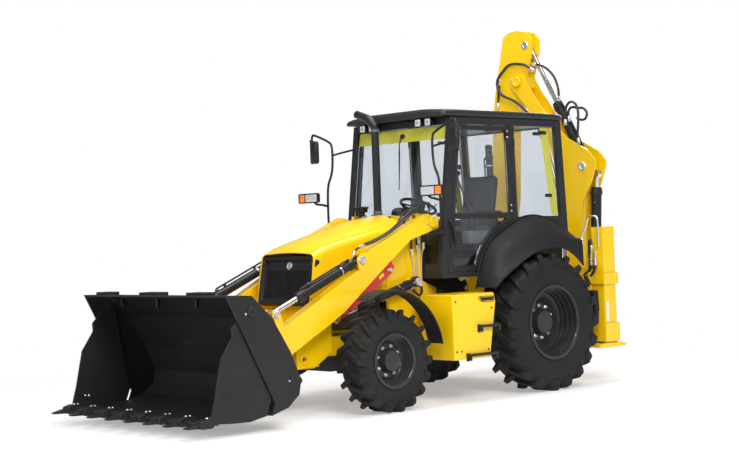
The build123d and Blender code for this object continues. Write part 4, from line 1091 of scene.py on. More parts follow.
def makeRamTrim(name, m):
    # Rings turned about the line between the eyes, and a
    # pipe that stands off the barrel between its two ports
    steel, bright = [], []
    for s in (1, -1) if m["both"] else (1,):
        flip = np.array((1, s, 1))
        p, q, out = (np.array(m[k], float) * flip for k in ("p", "q", "out"))
        axis = unit(q - p)
        out = unit(out - axis * (out @ axis))
        r, shut, rod = m["r"], m["shut"], m["rod"]
        # Gland with two steps, cap by the eye, and a silver clamp band
        gland = [(shut - 0.075, r + 0.001), (shut - 0.072, r + 0.009), (shut - 0.020, r + 0.009),
                 (shut - 0.014, r + 0.003), (shut + 0.008, r + 0.003), (shut + 0.012, r - 0.002),
                 (shut + 0.012, rod + 0.002), (shut + 0.004, rod + 0.002), (shut + 0.002, r - 0.006),
                 (shut - 0.070, r - 0.006)]
        steel.append(lathe(gland + gland[:1], p, axis, 36))
        rear = 0.125
        steel.append(lathe([(rear - 0.030, r - 0.004), (rear - 0.028, r + 0.007), (rear + 0.018, r + 0.007),
                            (rear + 0.022, r - 0.004), (rear - 0.030, r - 0.004)], p, axis, 36))
        band = shut * 0.30
        bright.append(lathe([(band, r - 0.003), (band, r + 0.0035), (band + 0.014, r + 0.0035),
                             (band + 0.014, r - 0.003), (band, r - 0.003)], p, axis, 36))
        # Pipe along the barrel from the rear port to the gland's port, on two saddles
        high = out * (r + 0.022)
        a, b = p + axis * rear, p + axis * (shut - 0.045)
        run = smoothPath((a + out * (r - 0.004), a + out * (r + 0.014), a + high + axis * 0.020,
                          a + high + axis * 0.08, (a + b) / 2 + high, b + high - axis * 0.08,
                          b + high - axis * 0.020, b + out * (r + 0.014), b + out * (r - 0.004)), 5)
        steel.append(tube(run, 0.0095, 10))
        for at in (band + 0.007, shut - 0.16):
            centre = p + axis * at + out * (r + 0.010)
            steel.append(lathe([(-0.012, 0), (-0.012, 0.017), (0.020, 0.014), (0.020, 0)], centre, out, 8))
            bright.append(lathe([(0.020, 0), (0.020, 0.007), (0.026, 0.006), (0.026, 0)], centre, out, 6))
    makePiece(f"{name}RamTrim", m["body"], steel + bright,
              repeated((("blackPaint", len(steel)), ("brightSteel", len(bright)))))


for name, m in rams.items():
    makeRamTrim(name, m)

# Red strut: a plate that is widest where it hangs from the arm
strutShape = {"outline": ((0.400, 1.340), (0.448, 1.398), (0.496, 1.374), (1.076, 0.950), (1.098, 0.922),
                          (1.068, 0.886), (1.030, 0.905), (0.440, 1.277)), "y": (0.590, 0.628)}
makePiece("redStrut", "loader_arms", [slab(strutShape["outline"], "y", *strutShape["y"])], "redPaint",
          stands=("safety_strut",), bevel=0.006)

# Pins: each has a head and a bolt beside it
pins = {
    # name: body, head centre on the left side, axis, radius, thickness, finish, both sides
    "armPivot": ("root", (-0.090, 0.686, 1.758), (0, 1, 0), 0.060, 0.014, "yellowPaint", True),
    "tiltRear": ("loader_arms", (0.867, 0.680, 1.419), (0, 1, 0), 0.042, 0.018, "brightSteel", True),
    "tiltFront": ("tilt_levers", (1.936, 0.706, 0.969), (0, 1, 0), 0.034, 0.012, "brightSteel", True),
    "leverPivot": ("tilt_levers", (1.830, 0.706, 0.630), (0, 1, 0), 0.034, 0.012, "yellowPaint", True),
    "bucketPin": ("loader_bucket", (1.950, 0.710, 0.470), (0, 1, 0), 0.046, 0.012, "brightSteel", True),
    "liftFront": ("loader_arms", (1.124, 0.590, 0.885), (0, 1, 0), 0.036, 0.010, "brightSteel", True),
    "liftRear": ("root", (0.043, 0.580, 1.179), (0, 1, 0), 0.040, 0.012, "brightSteel", True),
    "strutTop": ("loader_arms", (0.458, 0.628, 1.312), (0, 1, 0), 0.020, 0.012, "brightSteel", False),
    "strutLow": ("loader_arms", (1.040, 0.628, 0.934), (0, 1, 0), 0.018, 0.012, "brightSteel", False),
    "clamPin": ("loader_bucket", (2.534, 1.110, 1.032), (0, 1, 0), 0.046, 0.012, "bucketPaint", True),
    "bucketBoss": ("loader_bucket", (2.107, 1.110, 0.425), (0, 1, 0), 0.030, 0.010, "bucketPaint", True),
    "boomPinFront": ("boom", (-2.785, 0.364, 2.339), (1, 0, 0), 0.048, 0.014, "brightSteel", False),
    "boomTip": ("boom", (-2.760, -0.556, 3.374), (1, 0, 0), 0.060, 0.014, "yellowPaint", False),
    "boomTipRear": ("boom", (-3.010, -0.556, 3.374), (-1, 0, 0), 0.060, 0.014, "yellowPaint", False),
    "boomFoot": ("kingpost", (-2.735, 0.140, 0.860), (1, 0, 0), 0.056, 0.014, "yellowPaint", False),
    "boomFootRear": ("kingpost", (-3.035, 0.140, 0.860), (-1, 0, 0), 0.056, 0.014, "yellowPaint", False),
    "dipperTail": ("dipper", (-2.810, -0.450, 3.790), (1, 0, 0), 0.046, 0.012, "brightSteel", False),
    "hoeTip": ("hoe_bucket", (-2.780, -0.945, 1.460), (1, 0, 0), 0.046, 0.012, "brightSteel", False),
    "rockerPin": ("hoe_rocker", (-2.765, -0.985, 1.690), (1, 0, 0), 0.034, 0.012, "brightSteel", False),
}


def makePin(name, body, centre, axis, r, thick, finish, both):
    # A turned head with a dished middle, and one bolt beside it at 1.35 times its radius
    head = [(-0.004, 0), (-0.004, r), (thick * 0.7, r), (thick, r * 0.93), (thick, r * 0.60),
            (thick * 0.72, r * 0.54), (thick * 0.72, 0)]
    parts, names = [], []
    for s in (1, -1) if both else (1,):
        at, way = np.array(centre) * (1, s, 1), np.array(axis) * (1, s, 1)
        parts.append(lathe(head, at, way, 36))
        names.append(finish)
        side = unit(np.cross(way, (0.2, 0.3, 1.0)))
        parts += hexHeads([at + side * r * 1.35], way, max(0.007, r * 0.16), 0.007)
        names += ["brightSteel"] * 2
    makePiece(f"pin_{name}", body, parts, names)


for name, values in pins.items():
    makePin(name, *values)
print("pins and cylinder trim made")

# Hoses and pipes: body, radius, finish and the points of the smooth path. Where a hose crosses a joint, the
# second body and the two points of the stretch across it; such a hose is fixed where it stands and does not
# bend
lines = {
    "armHose1": ("root", 0.011, "hoseRubber", (
        (-0.120, 0.500, 1.500), (-0.110, 0.520, 1.660), (-0.060, 0.560, 1.800), (0.032, 0.600, 1.881),
        (0.150, 0.615, 1.868), (0.300, 0.625, 1.775), (0.480, 0.630, 1.672), (0.650, 0.628, 1.605),
        (0.800, 0.625, 1.560), (0.900, 0.625, 1.510), (0.935, 0.625, 1.455),
    ), ("loader_arms", (-0.110, 0.520, 1.660), (0.150, 0.615, 1.868))),
    "armHose2": ("root", 0.011, "hoseRubber", (
        (-0.060, 0.480, 1.480), (-0.020, 0.500, 1.640), (0.040, 0.560, 1.790), (0.120, 0.605, 1.838),
        (0.200, 0.630, 1.815), (0.340, 0.648, 1.735), (0.520, 0.652, 1.648), (0.700, 0.650, 1.580),
        (0.860, 0.645, 1.545),
    ), ("loader_arms", (-0.020, 0.500, 1.640), (0.200, 0.630, 1.815))),
    "armHose3": ("root", 0.011, "hoseRubber", (
        (0.010, 0.470, 1.440), (0.030, 0.485, 1.560), (0.090, 0.530, 1.680), (0.200, 0.556, 1.690),
        (0.290, 0.552, 1.600), (0.400, 0.545, 1.500),
    ), ("loader_arms", (0.030, 0.485, 1.560), (0.290, 0.552, 1.600))),
    "armLoop1": ("root", 0.010, "hoseRubber", (
        (-0.110, 0.420, 1.780), (-0.080, 0.440, 1.850), (-0.010, 0.480, 1.880), (0.080, 0.520, 1.860),
        (0.170, 0.550, 1.770), (0.210, 0.556, 1.660), (0.200, 0.545, 1.560),
    )),
    "armLoop2": ("root", 0.010, "hoseRubber", (
        (-0.110, 0.380, 1.780), (-0.060, 0.410, 1.868), (0.030, 0.460, 1.885), (0.150, 0.500, 1.840),
        (0.250, 0.520, 1.740), (0.290, 0.520, 1.640),
    )),
    "towerPipe1": ("root", 0.009, "brightSteel", (
        (-0.060, 0.456, 1.180), (-0.060, 0.460, 1.300), (-0.062, 0.462, 1.420), (-0.060, 0.480, 1.480),
    )),
    "towerPipe2": ("root", 0.009, "brightSteel", (
        (-0.020, 0.456, 1.150), (-0.018, 0.460, 1.280), (0.000, 0.462, 1.380), (0.010, 0.470, 1.440),
    )),
    "towerPipe3": ("root", 0.009, "brightSteel", (
        (-0.125, 0.456, 1.200), (-0.125, 0.460, 1.350), (-0.122, 0.470, 1.440), (-0.120, 0.500, 1.500),
    )),
    "towerHose": ("root", 0.012, "hoseRubber", (
        (-0.100, 0.462, 1.180), (-0.080, 0.500, 1.080), (0.000, 0.545, 1.040), (0.090, 0.560, 1.090),
        (0.140, 0.552, 1.160),
    )),
    "cleanerHose": ("root", 0.024, "hoseRubber", (
        (-0.075, -0.300, 1.840), (-0.070, -0.390, 1.800), (-0.065, -0.425, 1.700), (-0.070, -0.430, 1.560),
        (-0.080, -0.420, 1.450),
    )),
    "cowlHose": ("root", 0.012, "hoseRubber", (
        (-0.075, 0.330, 1.815), (-0.060, 0.390, 1.845), (-0.040, 0.450, 1.800), (-0.050, 0.470, 1.700),
        (-0.080, 0.472, 1.560),
    )),
    "boomHoseLeft": ("boom", 0.016, "hoseRubber", (
        (-2.770, -0.200, 2.700), (-2.762, -0.330, 2.930), (-2.762, -0.560, 3.130), (-2.762, -0.800, 3.250),
        (-2.762, -0.860, 3.400), (-2.764, -0.760, 3.520), (-2.766, -0.640, 3.585), (-2.768, -0.440, 3.560),
        (-2.775, -0.300, 3.480),
    ), ("dipper", (-2.762, -0.700, 3.200), (-2.764, -0.760, 3.520))),
    "boomHoseTop": ("dipper_ram_barrel", 0.014, "hoseRubber", (
        (-2.830, 0.020, 3.110), (-2.805, 0.040, 3.180), (-2.795, 0.035, 3.270), (-2.795, -0.017, 3.385),
        (-2.798, -0.120, 3.485), (-2.805, -0.240, 3.540), (-2.810, -0.345, 3.560),
    )),
    "boomLoop1": ("boom", 0.014, "hoseRubber", (
        (-2.775, 0.150, 2.820), (-2.770, 0.152, 2.930), (-2.768, 0.180, 3.030), (-2.768, 0.245, 3.072),
        (-2.768, 0.310, 3.040), (-2.770, 0.341, 2.950), (-2.772, 0.335, 2.820), (-2.778, 0.318, 2.700),
        (-2.782, 0.330, 2.600),
    )),
    "boomLoop2": ("boom", 0.014, "hoseRubber", (
        (-2.800, 0.190, 2.860), (-2.785, 0.190, 2.960), (-2.780, 0.240, 3.010), (-2.778, 0.330, 2.995),
        (-2.778, 0.410, 2.985), (-2.782, 0.456, 2.930), (-2.788, 0.430, 2.870), (-2.800, 0.360, 2.860),
        (-2.812, 0.290, 2.890),
    )),
    "boomPipe": ("boom", 0.013, "brightSteel", (
        (-2.772, 0.052, 1.150), (-2.772, 0.066, 1.450), (-2.772, 0.064, 1.748), (-2.772, 0.010, 2.080),
        (-2.772, -0.090, 2.410), (-2.772, -0.180, 2.700), (-2.772, -0.230, 2.790),
    )),
    "boomPipe2": ("boom", 0.011, "brightSteel", (
        (-2.772, 0.090, 1.150), (-2.772, 0.104, 1.450), (-2.772, 0.102, 1.748), (-2.772, 0.048, 2.080),
        (-2.772, -0.050, 2.410), (-2.772, -0.140, 2.680), (-2.772, -0.200, 2.700),
    )),
    "footHose1": ("kingpost", 0.016, "hoseRubber", (
        (-2.735, 0.250, 0.700), (-2.700, 0.200, 0.640), (-2.690, 0.090, 0.700), (-2.720, 0.030, 0.880),
        (-2.750, 0.045, 1.050), (-2.770, 0.052, 1.150),
    ), ("boom", (-2.690, 0.090, 0.720), (-2.750, 0.045, 1.050))),
    "footHose2": ("kingpost", 0.014, "hoseRubber", (
        (-2.735, 0.270, 0.740), (-2.690, 0.230, 0.690), (-2.680, 0.130, 0.740), (-2.715, 0.070, 0.900),
        (-2.750, 0.085, 1.060), (-2.772, 0.090, 1.150),
    ), ("boom", (-2.680, 0.130, 0.740), (-2.750, 0.085, 1.060))),
    "dipperPipe": ("dipper", 0.010, "brightSteel", (
        (-2.802, -0.900, 3.100), (-2.802, -0.940, 2.900), (-2.802, -0.960, 2.700),
    )),
    "dipperHose": ("dipper", 0.014, "hoseRubber", (
        (-2.802, -0.860, 3.420), (-2.800, -0.880, 3.260), (-2.802, -0.900, 3.100),
    )),
    "legPipe1": ("root", 0.012, "brightSteel", (
        (-2.165, 0.955, 1.400), (-2.163, 0.950, 1.350), (-2.163, 0.948, 1.300),
    )),
    "legPipe2": ("root", 0.012, "brightSteel", (
        (-2.165, 1.010, 1.400), (-2.163, 1.005, 1.350), (-2.163, 1.003, 1.300),
    )),
    "legHose1": ("root", 0.016, "hoseRubber", (
        (-2.163, 0.948, 1.310), (-2.165, 0.945, 1.240), (-2.185, 0.900, 1.190), (-2.220, 0.830, 1.165),
        (-2.280, 0.760, 1.145), (-2.360, 0.700, 1.110), (-2.430, 0.660, 1.050),
    )),
    "legHose2": ("root", 0.016, "hoseRubber", (
        (-2.163, 1.003, 1.310), (-2.165, 0.998, 1.225), (-2.185, 0.940, 1.150), (-2.220, 0.860, 1.120),
        (-2.280, 0.780, 1.100), (-2.360, 0.710, 1.060), (-2.430, 0.680, 1.000),
    )),
    "legFeed1": ("root", 0.014, "hoseRubber", (
        (-2.165, 0.955, 1.400), (-2.166, 0.958, 1.460), (-2.190, 0.930, 1.520), (-2.230, 0.880, 1.500),
        (-2.250, 0.860, 1.400), (-2.250, 0.860, 1.200),
    )),
    "grabRail": ("root", 0.011, "brightSteel", (
        (-2.120, 0.880, 1.480), (-2.130, 0.862, 1.560), (-2.145, 0.905, 1.655), (-2.150, 0.935, 1.745),
        (-2.150, 0.960, 1.768), (-2.150, 1.030, 1.768), (-2.150, 1.062, 1.742), (-2.152, 1.066, 1.640),
        (-2.160, 1.060, 1.450),
    )),
    "redLever": ("root", 0.008, "redPaint", (
        (-2.196, 0.998, 0.875), (-2.192, 0.998, 0.700), (-2.192, 0.994, 0.540), (-2.196, 0.990, 0.450),
    )),
}


def makeLine(name, body, radius, finish, points, crosses=None):
    # A tube along the smooth path; a rubber hose gets a sleeve and a nut at each end
    path = smoothPath(points, 7)
    parts, names = [tube(path, radius, 12)], [finish]
    if finish == "hoseRubber":
        for at, way in ((path[0], path[1] - path[0]), (path[-1], path[-2] - path[-1])):
            parts.append(lathe([(-0.006, 0), (-0.006, radius * 1.1), (0.016, radius * 1.3),
                                (0.055, radius * 1.25), (0.060, radius * 1.05), (0.060, 0)], at, way, 16))
            parts.append(lathe([(0, 0), (0, radius * 1.55), (0.014, radius * 1.55), (0.014, 0)], at, way, 6))
            names += ["brightSteel", "brightSteel"]
    makePiece(name, body, parts, names,
              bends=crosses)


for name, values in lines.items():
    makeLine(name, *values)
print("hoses and pipes made")

# Seat: cushions are crowned closed forms; their sides pull
# in between the corners and channels are sewn across them
seatShape = {
    # centre, half sizes, direction along, direction across, puff upwards and downwards, channels
    "seatCushion": dict(at=(-1.170, 0, 1.650), half=(0.255, 0.250), along=(1, 0, 0.05), across=(0, 1, 0),
                        up=0.062, down=0.030, channels=(-0.35, 0.25)),
    "seatBack": dict(at=(-1.455, 0, 1.950), half=(0.300, 0.232), along=(-0.20, 0, 1), across=(0, 1, 0),
                     up=-0.058, down=-0.030, channels=(-0.45, 0.05, 0.5)),
}


def makeCushion(name, c):
    # Height over the mid plane is the puff times the product of 1 - a^4
    # and 1 - b^4 to the power 0.28, less a narrow dip at each channel
    a, b = np.meshgrid(np.linspace(-1, 1, 41), np.linspace(-1, 1, 41), indexing="ij")
    along, across = unit(np.array(c["along"], float)), unit(np.array(c["across"], float))
    out = np.cross(along, across)
    x = a * c["half"][0] * (1 - 0.035 * (1 - b ** 2)) * (1 - 0.05 * (a ** 8) * (b ** 8))
    y = b * c["half"][1] * (1 - 0.040 * (1 - a ** 2)) * (1 - 0.05 * (a ** 8) * (b ** 8))
    crown = ((1 - a ** 4) * (1 - b ** 4)) ** 0.28
    dips = sum(np.exp(-((a - k) / 0.028) ** 2)
               for k in c["channels"]) * 0.010 * np.sign(c["up"]) * (np.abs(b) < 0.98)
    # Raised side bolsters hold the sitter
    bolster = 0.022 * np.sign(c["up"]) * np.clip((np.abs(b) - 0.55) / 0.3, 0, 1) ** 2 * crown
    top = c["up"] * crown + bolster - dips * crown
    low = -c["down"] * crown
    base = np.array(c["at"]) + x[..., None] * along + y[..., None] * across
    outward = out * np.sign(out @ (0, 0, 1) + 0.5 * out[0] + 1e-9)
    parts = [surface(base + height[..., None] * outward, wrapColumns=False) for height in (top, low)]
    piece = makePiece(name, "root", parts, "seatCloth", stands=("operator_seat",) if name == "seatCushion"
                      else (), smooth=180)
    edge = np.vstack([base[:, 0], base[-1, 1:], base[-2::-1, -1], base[0, -2:0:-1]])[::3]
    makePiece(f"{name}_piping", "root", [tube(np.vstack((edge, edge[:1])), 0.005, 8)], "blackPaint")


for name, c in seatShape.items():
    makeCushion(name, c)

# Seat base: a bellows under the cushion, and an armrest on a bracket at each side
seatBaseShape = {
    "x": -1.185, "foot": ((1.245, 0), (1.245, 0.170), (1.275, 0.172)), "folds": 8, "from": 1.290,
    "pitch": 0.036, "outer": 0.165, "inner": 0.140,
    "head": ((1.590, 0.165), (1.600, 0.185), (1.622, 0.185), (1.622, 0)),
    "armrest": ((-1.480, 0.262, 1.825), (-1.130, 0.322, 1.868), 0.018),
    "bracket": ((-1.475, 0.236, 1.640), (-1.440, 0.268, 1.845), 0.010),
}


def makeSeatBase(b):
    # The bellows' radius goes from its outer to its inner value and back in each fold
    folds = [(b["from"] + (k + half / 2) * b["pitch"], b[edge])
             for k in range(b["folds"]) for half, edge in ((0, "outer"), (1, "inner"))]
    parts = [lathe([*b["foot"], *folds, *b["head"]], (b["x"], 0, 0), (0, 0, 1), 40)]
    for s in (1, -1):
        parts.append(sideBlock(s, *b["armrest"]))
        parts.append(sideBlock(s, *b["bracket"]))
    makePiece("seatBase", "root", parts, "blackMoulding")


makeSeatBase(seatBaseShape)

# Console: a bent cowl with a domed binnacle, the column,
# the steering wheel, levers and a side console with knobs
consoleShape = {
    "outline": ((-0.240, 1.245), (-0.520, 1.245), (-0.505, 1.500), (-0.440, 1.790), (-0.400, 1.835),
                (-0.300, 1.855), (-0.262, 1.700)),
    "half": 0.180, "cowl": ((-0.460, -0.170, 1.780), (-0.300, 0.170, 1.925), 0.060, 6),
    "hub": (-0.560, 0, 1.930), "axis": (-0.42, 0, 0.907), "wheelR": 0.188, "rimR": 0.015, "columnR": 0.028,
    "boss": ((-0.030, 0), (-0.030, 0.052), (0.008, 0.056), (0.020, 0.040), (0.024, 0)),
    # spokes: their angles, and their radius from the hub outwards
    "spokes": (pi / 2, pi / 2 + 2.1, pi / 2 - 2.1), "spokeR": (0.014, 0.010, 0.008),
    # stalks at the column: x, y, z; levers beside the seat: x, y
    "stalks": ((-0.62, -0.21, 1.80), (-0.60, 0.20, 1.82)),
    "levers": ((-0.88, 0.40), (-0.96, 0.41), (-1.06, -0.42), (-1.14, -0.42)),
    "knob": ((0, 0), (0.004, 0.012), (0.030, 0.023), (0.062, 0.022), (0.078, 0.012), (0.080, 0)),
    "sideBox": ((-1.480, 0.340, 1.520), (-0.820, 0.480, 1.660), 0.030),
}


def makeConsole(c):
    # The steering wheel is a circle square to the column's axis, with a round rim and three spokes
    hub, axis = np.array(c["hub"]), unit(np.array(c["axis"]))
    side, up = np.array((0, 1.0, 0)), np.cross(axis, (0, 1.0, 0))
    turn = np.linspace(0, 2 * pi, 56, endpoint=False)
    circle = hub + c["wheelR"] * (np.cos(turn)[:, None] * side + np.sin(turn)[:, None] * up)
    outwards = unit(circle - hub)
    v = np.linspace(0, 2 * pi, 12, endpoint=False)[None, :, None]
    rim = surface(circle[:, None] + c["rimR"] * (np.cos(v) * outwards[:, None] + np.sin(v) * axis),
                  wrapRows=True)
    ways = [np.cos(angle) * side + np.sin(angle) * up for angle in c["spokes"]]
    spokes = [tube((hub - axis * 0.012, hub - axis * 0.006 + 0.5 * c["wheelR"] * way,
                    hub + c["wheelR"] * way), c["spokeR"], 8) for way in ways]
    parts = [slab(c["outline"], "y", -c["half"], c["half"]), rim, lathe(c["boss"], hub, axis, 28),
             tube((hub - axis * 0.260, hub - axis * 0.02), c["columnR"], 14), block(*c["cowl"])]
    makePiece("dashConsole", "root", parts + spokes, "blackMoulding", stands=("control_console",),
              bevel=0.012)


def makeLevers(c):
    # Each lever is a bent tube whose upper end carries a turned knob
    levers = [tube(smoothPath(((-0.52, y * 0.4, 1.86), (x, y * 0.8, z + 0.08),
                               (x - 0.02, y * 1.05, z + 0.13))), 0.006, 8) for x, y, z in c["stalks"]]
    for x, y in c["levers"]:
        levers.append(tube(smoothPath(((x, y, 1.62), (x + 0.005, y, 1.80), (x + 0.02, y * 0.97, 1.92))),
                           0.008, 8))
        levers.append(lathe(c["knob"], (x + 0.02, y * 0.97, 1.91), (0.15, 0, 1), 16))
    boxes = [sideBlock(s, *c["sideBox"]) for s in (1, -1)]
    makePiece("cabControls", "root", levers + boxes, repeated((("blackPaint", len(levers)), ("cabTrim", 2))))


makeConsole(consoleShape)
makeLevers(consoleShape)
print("seat and console made")

# Cab fittings: bands on the panes, wipers, handles, hinges, latches, seals and the ridge over the rear wheel
screen = {"foot": (-0.190, 1.345), "top": (-0.370, 2.725)}


def onScreen(y, z, out=0.0):
    # A point on the line from the screen's foot to its top
    # at the height z, moved out along the screen's normal
    (x0, z0), (x1, z1) = screen["foot"], screen["top"]
    y, z = np.broadcast_arrays(np.asarray(y, float), np.asarray(z, float))
    return np.stack((x0 + (x1 - x0) * (z - z0) / (z1 - z0) + 0.99 * out, y, z + 0.13 * out), -1)


def bandOnScreen(corners, low, high):
    # The corners at two distances from the screen
    y, z = np.array(corners).T
    return surface([onScreen(y, z, w) for w in (low, high)], caps=True)


# Sun strips on the screen's upper edge, as y and z, and on the rear quarter panes, as x and z
sunStripShape = {
    "screen": ((-0.650, 2.590), (0.650, 2.590), (0.650, 2.722), (-0.650, 2.722)),
    "screenOut": (0.0005, 0.0015),
    "quarter": ((-1.700, 2.722), (-1.812, 2.722), (-1.952, 1.800), (-1.846, 1.800)),
    "quarterOut": (0.6983, 0.6993),
}
makePiece("screenBand", "root", [bandOnScreen(sunStripShape["screen"], *sunStripShape["screenOut"])],
          "sunStrip")
makePiece("quarterBands", "root", [sideSlab(s, sunStripShape["quarter"], *sunStripShape["quarterOut"])
                                   for s in (1, -1)], "sunStrip")

# Each wiper: foot, bend, and the two ends of its blade, as y and z on the screen
wipers = (
    ((0.02, 2.650), (-0.010, 2.480), (0.015, 2.100), (-0.025, 2.560)),
    ((-0.330, 1.450), (-0.300, 1.800), (-0.375, 1.560), (-0.290, 2.180)),
)


def makeWipers(table):
    # The arm's middle lies half way between foot and bend, and stands off furthest
    parts = []
    for foot, bend, low, high in table:
        middle = ((foot[0] + bend[0]) / 2, (foot[1] + bend[1]) / 2)
        parts.append(tube([onScreen(*foot, 0.030), onScreen(*middle, 0.034), onScreen(*bend, 0.020)],
                          (0.008, 0.006, 0.005), 8))
        parts.append(tube([onScreen(*low, 0.010), onScreen(*bend, 0.014), onScreen(*high, 0.010)],
                          (0.004, 0.009, 0.004), 8))
        parts.append(lathe([(-0.004, 0), (-0.004, 0.024), (0.026, 0.022), (0.036, 0.012), (0.036, 0)],
                           onScreen(*foot), (0.99, 0, 0.13), 20))
    makePiece("screenWipers", "root", parts, "blackMoulding")


makeWipers(wipers)

# Cab sides: outlines as x and z; the ridges follow the inner and the outer edge of the rear fender
cabSideShape = {
    "doorFrame": ((-0.362, 1.832), (-0.462, 2.680), (-1.150, 2.680), (-1.178, 1.832)),
    "lowPane": ((-0.305, 1.310), (-0.360, 1.786), (-1.130, 1.786), (-1.075, 1.740), (-0.890, 1.652),
                (-0.735, 1.512), (-0.668, 1.400), (-0.640, 1.310)),
    "innerRidge": ((-0.612, 1.075), (-0.655, 1.256), (-0.690, 1.365), (-0.762, 1.470), (-0.906, 1.599),
                   (-1.120, 1.707), (-1.235, 1.750), (-1.382, 1.793), (-1.600, 1.793), (-1.912, 1.712)),
    "outerRidge": ((-0.561, 1.092), *rearFenderShape["lines"][-1][1][1:]),
    "hinges": ((-1.160, 2.640), (-1.185, 1.880)),
    "latches": ((-1.636, 2.655), (-1.740, 2.668), (-1.800, 2.006)),
    # x, distance from the middle, z
    "grip": ((-0.281, 0.722, 1.775), (-0.284, 0.742, 1.750), (-0.300, 0.750, 1.690), (-0.318, 0.750, 1.610),
             (-0.328, 0.742, 1.560), (-0.330, 0.722, 1.540)),
    "gripPlate": ((-0.352, 0.716, 1.500), (-0.290, 0.729, 1.800), 0.006),
    "sealOut": 0.7185, "sealRadius": 0.0065,
}


def makeSeal(outline, s, c):
    # A thin tube round a pane: six even steps along each side of its outline
    ring = np.array(outline + outline[:1])
    step = np.linspace(0, 1, 6, endpoint=False)[None, :, None]
    fine = (ring[:-1, None] + (ring[1:] - ring[:-1])[:, None] * step).reshape(-1, 2)
    fine = np.vstack((fine, fine[:1]))
    return tube(np.column_stack((fine[:, 0], np.full(len(fine), s * c["sealOut"]), fine[:, 1])),
                c["sealRadius"], 8)


def makeCabSide(name, s, c):
    # The door has seals, a grip on its plate and two hinges;
    # the cab has latches and the ridges over the wheel
    seals = [makeSeal(c[pane], s, c) for pane in ("doorFrame", "lowPane")]
    seals.append(tube(smoothPath(np.array(c["grip"]) * (1, s, 1)), 0.013, 12))
    seals.append(sideBlock(s, *c["gripPlate"]))
    seals += [sideBlock(s, (x - 0.022, 0.700, z - 0.050), (x + 0.022, 0.728, z + 0.050), 0.007)
              for x, z in c["hinges"]]
    bolts = hexHeads([(x, s * 0.728, z + k) for x, z in c["hinges"] for k in (-0.030, 0.030)], (0, s, 0),
                     0.007, 0.006)
    makePiece(f"doorTrim_{name}", f"door_{name}", seals + bolts,
              repeated((("blackPaint", len(seals)), ("brightSteel", 2))))
    trims = [sideBlock(s, (x - 0.052, 0.690, z - 0.018), (x + 0.052, 0.716, z + 0.018), 0.0125, 6)
             for x, z in c["latches"]]
    for ridge, y, radius in (("innerRidge", 0.738, 0.009), ("outerRidge", 1.036, 0.010)):
        trims.append(tube(smoothPath([(x, s * y, z) for x, z in c[ridge]], 6), radius, 10))
    makePiece(f"cabTrim_{name}", "root", trims, "blackMoulding")


for name, s in sides:
    makeCabSide(name, s, cabSideShape)

# Round knobs and their stalk, seen through the left pane
knobs = [lathe([(-0.012, 0), (-0.012, 0.026), (0, 0.028), (0.012, 0.020), (0.014, 0)], p, (0, 1, 0.3), 24)
         for p in ((-0.88, 0.30, 2.323), (-0.86, 0.30, 2.262))]
stalk = ((-0.86, 0.30, 2.262), (-0.85, 0.30, 2.190), (-0.88, 0.36, 2.000), (-0.90, 0.40, 1.700))
makePiece("cabKnobs", "root", knobs + [tube(smoothPath(stalk), 0.009, 8)], "blackMoulding")
print("cab fittings made")

# Bucket details: outlines as x and z, places across as y
bucketShape = {
    "teeth": 8, "teethTo": 1.040, "half": 0.046,
    "adapter": ((2.905, 0.138), (2.925, 0.172), (3.010, 0.176), (3.075, 0.160), (3.100, 0.104),
                (3.060, 0.0935), (2.960, 0.0935)),
    "edge": ((2.860, 0.126), (2.862, 0.146), (2.990, 0.146), (3.020, 0.132), (3.010, 0.120)), "edgeTo": 1.070,
    "bolts": ((2.945, 0.173), (2.985, 0.175)), "cheekBolts": ((2.835, 0.24), (2.798, 0.236)),
    "tabs": ((-1.050, -0.860), (-0.330, -0.060), (0.400, 0.640)),
    "tabFeet": ((-0.90, -0.87), (-0.32, -0.29), (0.29, 0.32), (0.87, 0.90)),
    "rib": ((2.150, 0.745), (2.235, 0.850), (2.200, 0.860), (2.120, 0.770)),
}


def makeBucketDetails(b):
    # Teeth stand at even steps across the cutting edge, each with two bolts behind it
    places = np.linspace(-b["teethTo"], b["teethTo"], b["teeth"])
    adapters = [slab(b["adapter"], "y", y - b["half"], y + b["half"]) for y in places]
    adapters.append(slab(b["edge"], "y", -b["edgeTo"], b["edgeTo"]))
    makePiece("toothAdapters", "bucket_clam", adapters, "bucketPaint", bevel=0.005)
    bolts = hexHeads([(x, y, z) for y in places for x, z in b["bolts"]], (0, 0, 1), 0.011, 0.009)
    bolts += hexHeads([(x, -1.0735, z) for x, z in b["cheekBolts"]], (0, 1, 0), 0.010, 0.010)
    makePiece("cutterBolts", "bucket_clam", bolts, "brightSteel")
    tabs = [block((2.560, low, 1.172), (2.700, high, 1.204), 0.006) for low, high in b["tabs"]]
    tabs += [block((2.500, low, 1.060), (2.530, high, 1.172), 0.004) for low, high in b["tabFeet"]]
    makePiece("lipTabs", "loader_bucket", tabs, "bucketPaint")
    ribs = [sideSlab(s, b["rib"], 0.470, 0.497) for s in (1, -1)]
    ribs.append(tube([(2.060, -1.04, 0.245), (2.060, 1.04, 0.245)], 0.018, 12))
    makePiece("bucketRibs", "loader_bucket", ribs, "bucketPaint")


makeBucketDetails(bucketShape)

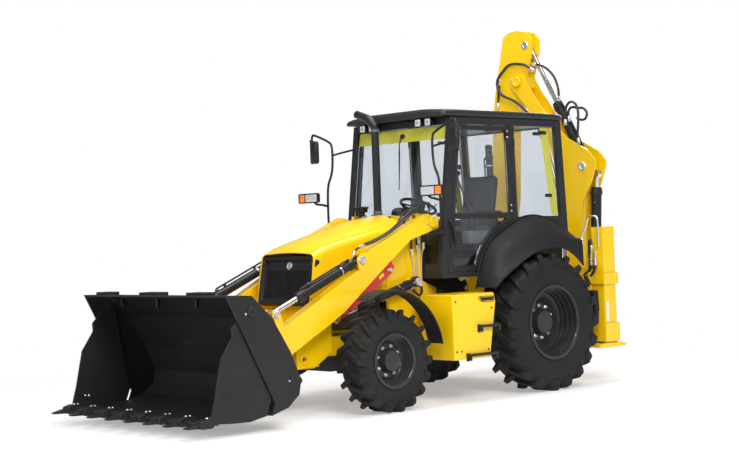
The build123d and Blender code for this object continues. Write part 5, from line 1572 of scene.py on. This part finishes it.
# Small things on the frame: outlines as x and z, turned profiles as along and outwards, boxes with rounding
frameTrimShape = {
    "noseRing": ((0, 0.026), (0.010, 0.030), (0.012, 0.042), (0.009, 0.052), (0, 0.055), (0, 0.026)),
    "strutPlate": ((0.540, 1.262), (0.598, 1.222), (0.616, 1.248), (0.558, 1.288)),
    "legPlate": ((-2.268, 0.640), (-2.232, 0.640), (-2.232, 0.860), (-2.268, 0.860)),
    "rearLamp": ((-0.004, 0), (-0.004, 0.052), (0.010, 0.052), (0.014, 0.040), (0.014, 0)),
    "nosePlate": ((1.250, 0.448, 0.440), (1.480, 0.458, 0.452), 0.003),
    "lampBox": ((-2.178, 0.925, 0.670), (-2.110, 1.030, 0.985), 0.020),
    "lampFace": ((-2.195, 0.940, 0.760), (-2.160, 1.015, 0.900), 0.006),
    "stackAt": (-0.072, -0.095, 0), "clamps": (1.865, 2.700),
    "clampBand": ((0, 0.038), (0, 0.046), (0.026, 0.046), (0.026, 0.038), (0, 0.038)),
    "collar": ((1.846, 0.036), (1.846, 0.070), (1.856, 0.070), (1.860, 0.042), (1.860, 0.036),
               (1.846, 0.036)),
}


def makeFrameTrim(f):
    # Rings and plates on the nose, the red strut and the
    # legs, lamp boxes at the rear, and bands round the stack
    nose, rear = [], []
    for s in (1, -1):
        nose.append(lathe(f["noseRing"], (1.420, s * 0.450, 0.520), (0, s, 0), 32))
        nose.append(sideBlock(s, *f["nosePlate"]))
        rear.append(sideBlock(s, *f["lampBox"]))
        rear.append(sideBlock(s, *f["lampFace"]))
        rear.append(lathe(f["rearLamp"], (-2.200, s * 0.990, 0.440), (1, 0, 0), 28))
    makePiece("noseRings", "root", nose, "yellowPaint")
    makePiece("strutPlate", "loader_arms", [slab(f["strutPlate"], "y", 0.6275, 0.6295)], "plateYellow")
    makePiece("legPlates", "root", [sideSlab(s, f["legPlate"], 1.0803, 1.0823) for s in (1, -1)],
              "plateWhite")
    makePiece("rearLampBoxes", "root", rear, "blackMoulding")
    bands = [lathe([(low + z, r) for z, r in f["clampBand"]], f["stackAt"], (0, 0, 1), 32)
             for low in f["clamps"]]
    bands.append(lathe(f["collar"], f["stackAt"], (0, 0, 1), 32))
    makePiece("stackClamps", "root", bands, "castIron")


makeFrameTrim(frameTrimShape)
print("bucket, frame and rear details made")
